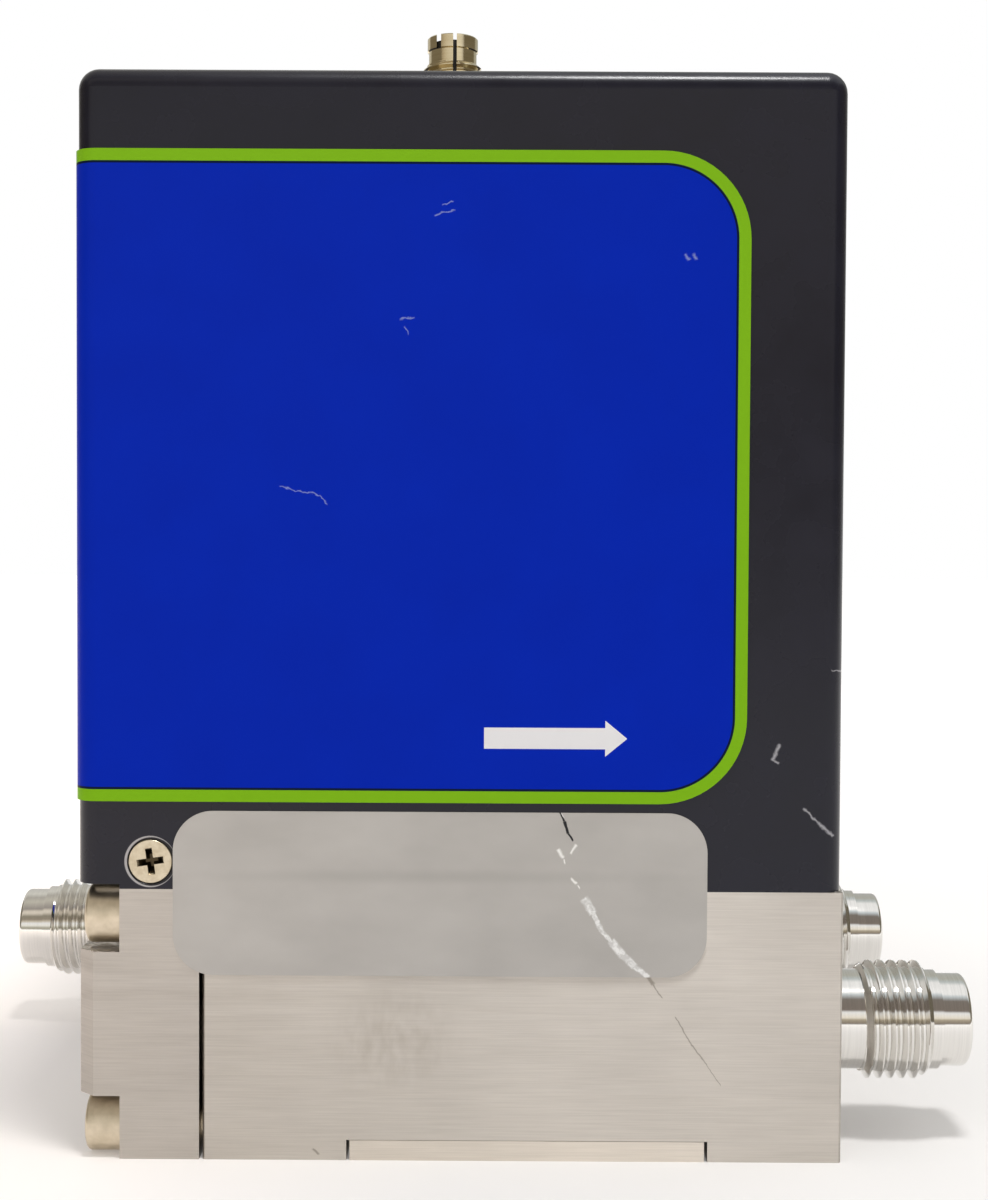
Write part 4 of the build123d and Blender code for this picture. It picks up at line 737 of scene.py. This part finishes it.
def stage():
    """White paper floor, with painted shade near the object and painted light to the left, white room, and one small
    soft lamp overhead, a little to the front and right.
    """
    bm = bmesh.new()
    bmesh.ops.create_grid(bm, x_segments=1, y_segments=1, size=FLOOR_REACH)
    floor = object_from(bm, "floor")
    paper = bpy.data.materials.new("white_paper_floor")
    paper.use_nodes = True
    floor.data.materials.append(paper)
    tree = paper.node_tree
    tree.nodes.clear()
    where = add(tree, "TexCoord")
    parts = add(tree, "SeparateXYZ", {0: where.outputs["Object"]})
    # The floor is painted lighter and warmer to the left as painted light, and its glow is lowered near the object as
    # painted shade; far off it rises to white
    sideways = add(tree, "MapRange", {"Value": parts.outputs["X"], "From Min": -0.12, "From Max": 0.0})
    paper_painted_warm_left = blend(tree, sideways.outputs[0], linear("#F4E8DE"), linear("#E6E4E2"))
    left_painted_light = add(tree, "MapRange", {"Value": sideways.outputs[0], "To Min": 0.2, "To Max": 0.0})
    reach = add(tree, "VectorMath", {0: where.outputs["Object"]}, operation="LENGTH")
    near_painted_shade = add(tree, "MapRange", {
        "Value": reach.outputs["Value"], "From Min": 0.05, "From Max": 0.13, "To Min": 0.12, "To Max": 0.25,
    })
    far = add(tree, "MapRange", {"Value": reach.outputs["Value"], "From Min": 0.15, "From Max": 0.6, "To Max": 0.35})
    outward = add(tree, "Math", {0: near_painted_shade.outputs[0], 1: far.outputs[0]}, operation="ADD")
    strength = add(tree, "Math", {0: outward.outputs[0], 1: left_painted_light.outputs[0]}, operation="ADD")
    sheet = add(tree, "BsdfDiffuse", {"Color": paper_painted_warm_left})
    glow = add(tree, "Emission", {"Strength": strength.outputs[0]})
    lit = add(tree, "AddShader", {0: sheet.outputs[0], 1: glow.outputs[0]})
    mixed = add(tree, "MixShader", {0: seen_directly(tree), 1: sheet.outputs[0], 2: lit.outputs[0]})
    add(tree, "OutputMaterial", {"Surface": mixed.outputs[0]})

    room = bpy.data.worlds.new("white_room")
    bpy.context.scene.world = room
    room.use_nodes = True
    tree = room.node_tree
    tree.nodes.clear()
    dim = add(tree, "Background", {"Color": linear("#F8F6F4"), "Strength": 0.72})
    white = add(tree, "Background", {"Color": (1, 1, 1, 1), "Strength": 1.0})
    mixed = add(tree, "MixShader", {0: seen_directly(tree), 1: dim.outputs[0], 2: white.outputs[0]})
    add(tree, "OutputWorld", {"Surface": mixed.outputs[0]})

    lamp = bpy.data.lights.new("overhead", "AREA")
    lamp.shape = "RECTANGLE"
    lamp.size, lamp.size_y = LAMP_SIZE
    lamp.energy = LAMP_POWER
    hung = bpy.data.objects.new("overhead", lamp)
    hung.location = LAMP_PLACE
    bpy.context.scene.collection.objects.link(hung)

    # The photograph's metal shows a dark room in front, a bright window low in it, and a pale ceiling at the right
    studio_wall("studio_right", ROOM_REACH, (
        (2, "#857A70"), (12, "#BDB29C"), (16, "#FFF6E6"), (28, "#FFFFFF"), (33, "#857B73"), (58, "#857D76"),
        (70, "#D6DEE2"), (76, "#FFFFFF"), (104, "#FFFFFF"), (116, "#C9D0D0"), (130, "#BDBDB4"), (172, "#B9BAB7"),
    ), "#7C7566")
    studio_wall("studio_left", -ROOM_REACH, (
        (2, "#B5B1A0"), (8, "#BDB9A9"), (13, "#FFFCF2"), (20, "#FFFFFF"), (26, "#D8CDBB"), (32, "#A19686"),
        (42, "#9A9383"), (52, "#E8DECF"), (58, "#E8DECF"), (66, "#A59E98"), (92, "#CFCABE"), (110, "#BDB9B1"),
        (128, "#E0DED6"), (172, "#C8C6C2"),
    ), "#857D6E")


camera()
stage()

fittings = [
    fitting("inlet_fitting", inlet_end, FITTING_Y, -1, INLET_NECK, INLET_CREST),
    fitting("front_outlet_fitting", base_high.x, -FITTING_Y, 1, OUTLET_NECK, OUTLET_CREST),
    fitting("rear_outlet_fitting", base_high.x, FITTING_Y, 1, OUTLET_NECK, OUTLET_CREST),
]
connector_pieces = round_connector()
screws = [cover_screw("cover_screw_front", SCREW_X, -1), cover_screw("cover_screw_rear", -SCREW_X, 1)]
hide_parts("cover_screws")

bright = turned_metal("electropolished_stainless", "#DEDCD8", "#E8E6E2", 0.09, 0.15, "X")
bright_upright = turned_metal("polished_stainless_upright", "#C9C5C0", "#D8D4CF", 0.12, 0.15, "Z")
nickel = turned_metal("nickel_plated_brass", "#CFC19E", "#DDD0B0", 0.14, 0.2, "Z")
small_nickel = plain_finish("nickel_plated_screws", "#CDC5B2", "#DED7C6", 0.8, 0.02, Metallic=1.0, Roughness=0.3)
drawn_steel = plain_finish("drawn_stainless_screws", "#CBBFA9", "#DACEB9", 1.2, 0.02, Metallic=1.0, Roughness=0.42)
zinc = plain_finish("zinc_plated_sheet", "#B9BABD", "#CBCCCF", 3.0, 0.01, Metallic=1.0, Roughness=0.34)
tin = plain_finish("tinned_steel", "#C3C3C0", "#D2D2CF", 2.0, 0.01, Metallic=1.0, Roughness=0.22)
bare_nickel = plain_finish("soft_nickel_ring", "#C2BBAD", "#D0C9BB", 1.0, 0.01, Metallic=1.0, Roughness=0.25)
aluminium = plain_finish("milled_aluminium", "#C4C4C3", "#D4D4D3", 1.5, 0.02, Metallic=1.0, Roughness=0.4)
iron = plain_finish("ground_magnetic_steel", "#9D9B97", "#AEACA8", 0.6, 0.02, Metallic=1.0, Roughness=0.3)
wire = plain_finish("enamelled_copper_wire", "#A65F2B", "#C0753A", 0.3, 0.05, Metallic=0.8, Roughness=0.35)
tape = plain_finish("red_brown_coil_tape", "#6E2A17", "#85361F", 1.2, 0.04, Roughness=0.45)
moulding = plain_finish("black_glass_filled_moulding", "#1B1B1C", "#262627", 0.4, 0.02, Roughness=0.55)
laminate = plain_finish("green_solder_mask", "#0E4A27", "#155A31", 2.5, 0.03, Roughness=0.35)
gold = plain_finish("gold_flashed_contacts", "#C79A45", "#E0B866", 0.6, 0.01, Metallic=1.0, Roughness=0.2)

give(brushed_stainless("brushed_stainless_base", "#D3CDC6", "#DDD7D0", marked=True), "base_block")
give(brushed_stainless("brushed_stainless_bar", "#CCC6C0", "#D6D0CA"), "inlet_block")
# The insert's stainless is a lighter copy of the base's: painted light
give(brushed_stainless("brushed_stainless_insert_painted_lighter", "#E5DDD3", "#EFE7DD"), "bottom_insert")
give(charcoal_paint(), "cover")
give(printed_label(), "label_overlay")
give(seal_foil(), "seal_sticker")
give(cross_head_nickel(), *screws, "cover_screws")
give(bright, *fittings, "inlet_fitting", "front_outlet_fitting", "rear_outlet_fitting")
give(nickel, *connector_pieces, "connector_shell", "connector_nut")
give(small_nickel, "jack_screws", "board_standoffs", "board_screws", "main_board_screws")
give(drawn_steel, "inlet_block_screws", "gallery_plug", "bottom_screws", "valve_nuts", "sensor_screws")
give(drawn_steel, "valve_screws", "chassis_screws")
give(zinc, "chassis")
give(tin, "signal_connector_shell")
give(bare_nickel, "block_seals")
give(wire, "sensor_windings")
give(moulding, "connector_insert", "signal_connector_body", "board_header", "board_chips")
give(gold, "connector_contacts", "signal_connector_pins")
give(laminate, "main_board", "interface_board")
for side in ("front", "rear"):
    give(bright, side + "_flow_element")
    give(aluminium, side + "_sensor_housing")
    give(bright_upright, side + "_sensor_tube", side + "_orifice_seat", side + "_valve_body", side + "_valve_spring")
    give(iron, side + "_valve_plunger", side + "_pole_piece")
    give(tape, side + "_valve_coil")
    give(zinc, side + "_valve_yoke")

bpy.context.scene.view_settings.view_transform = "Standard"
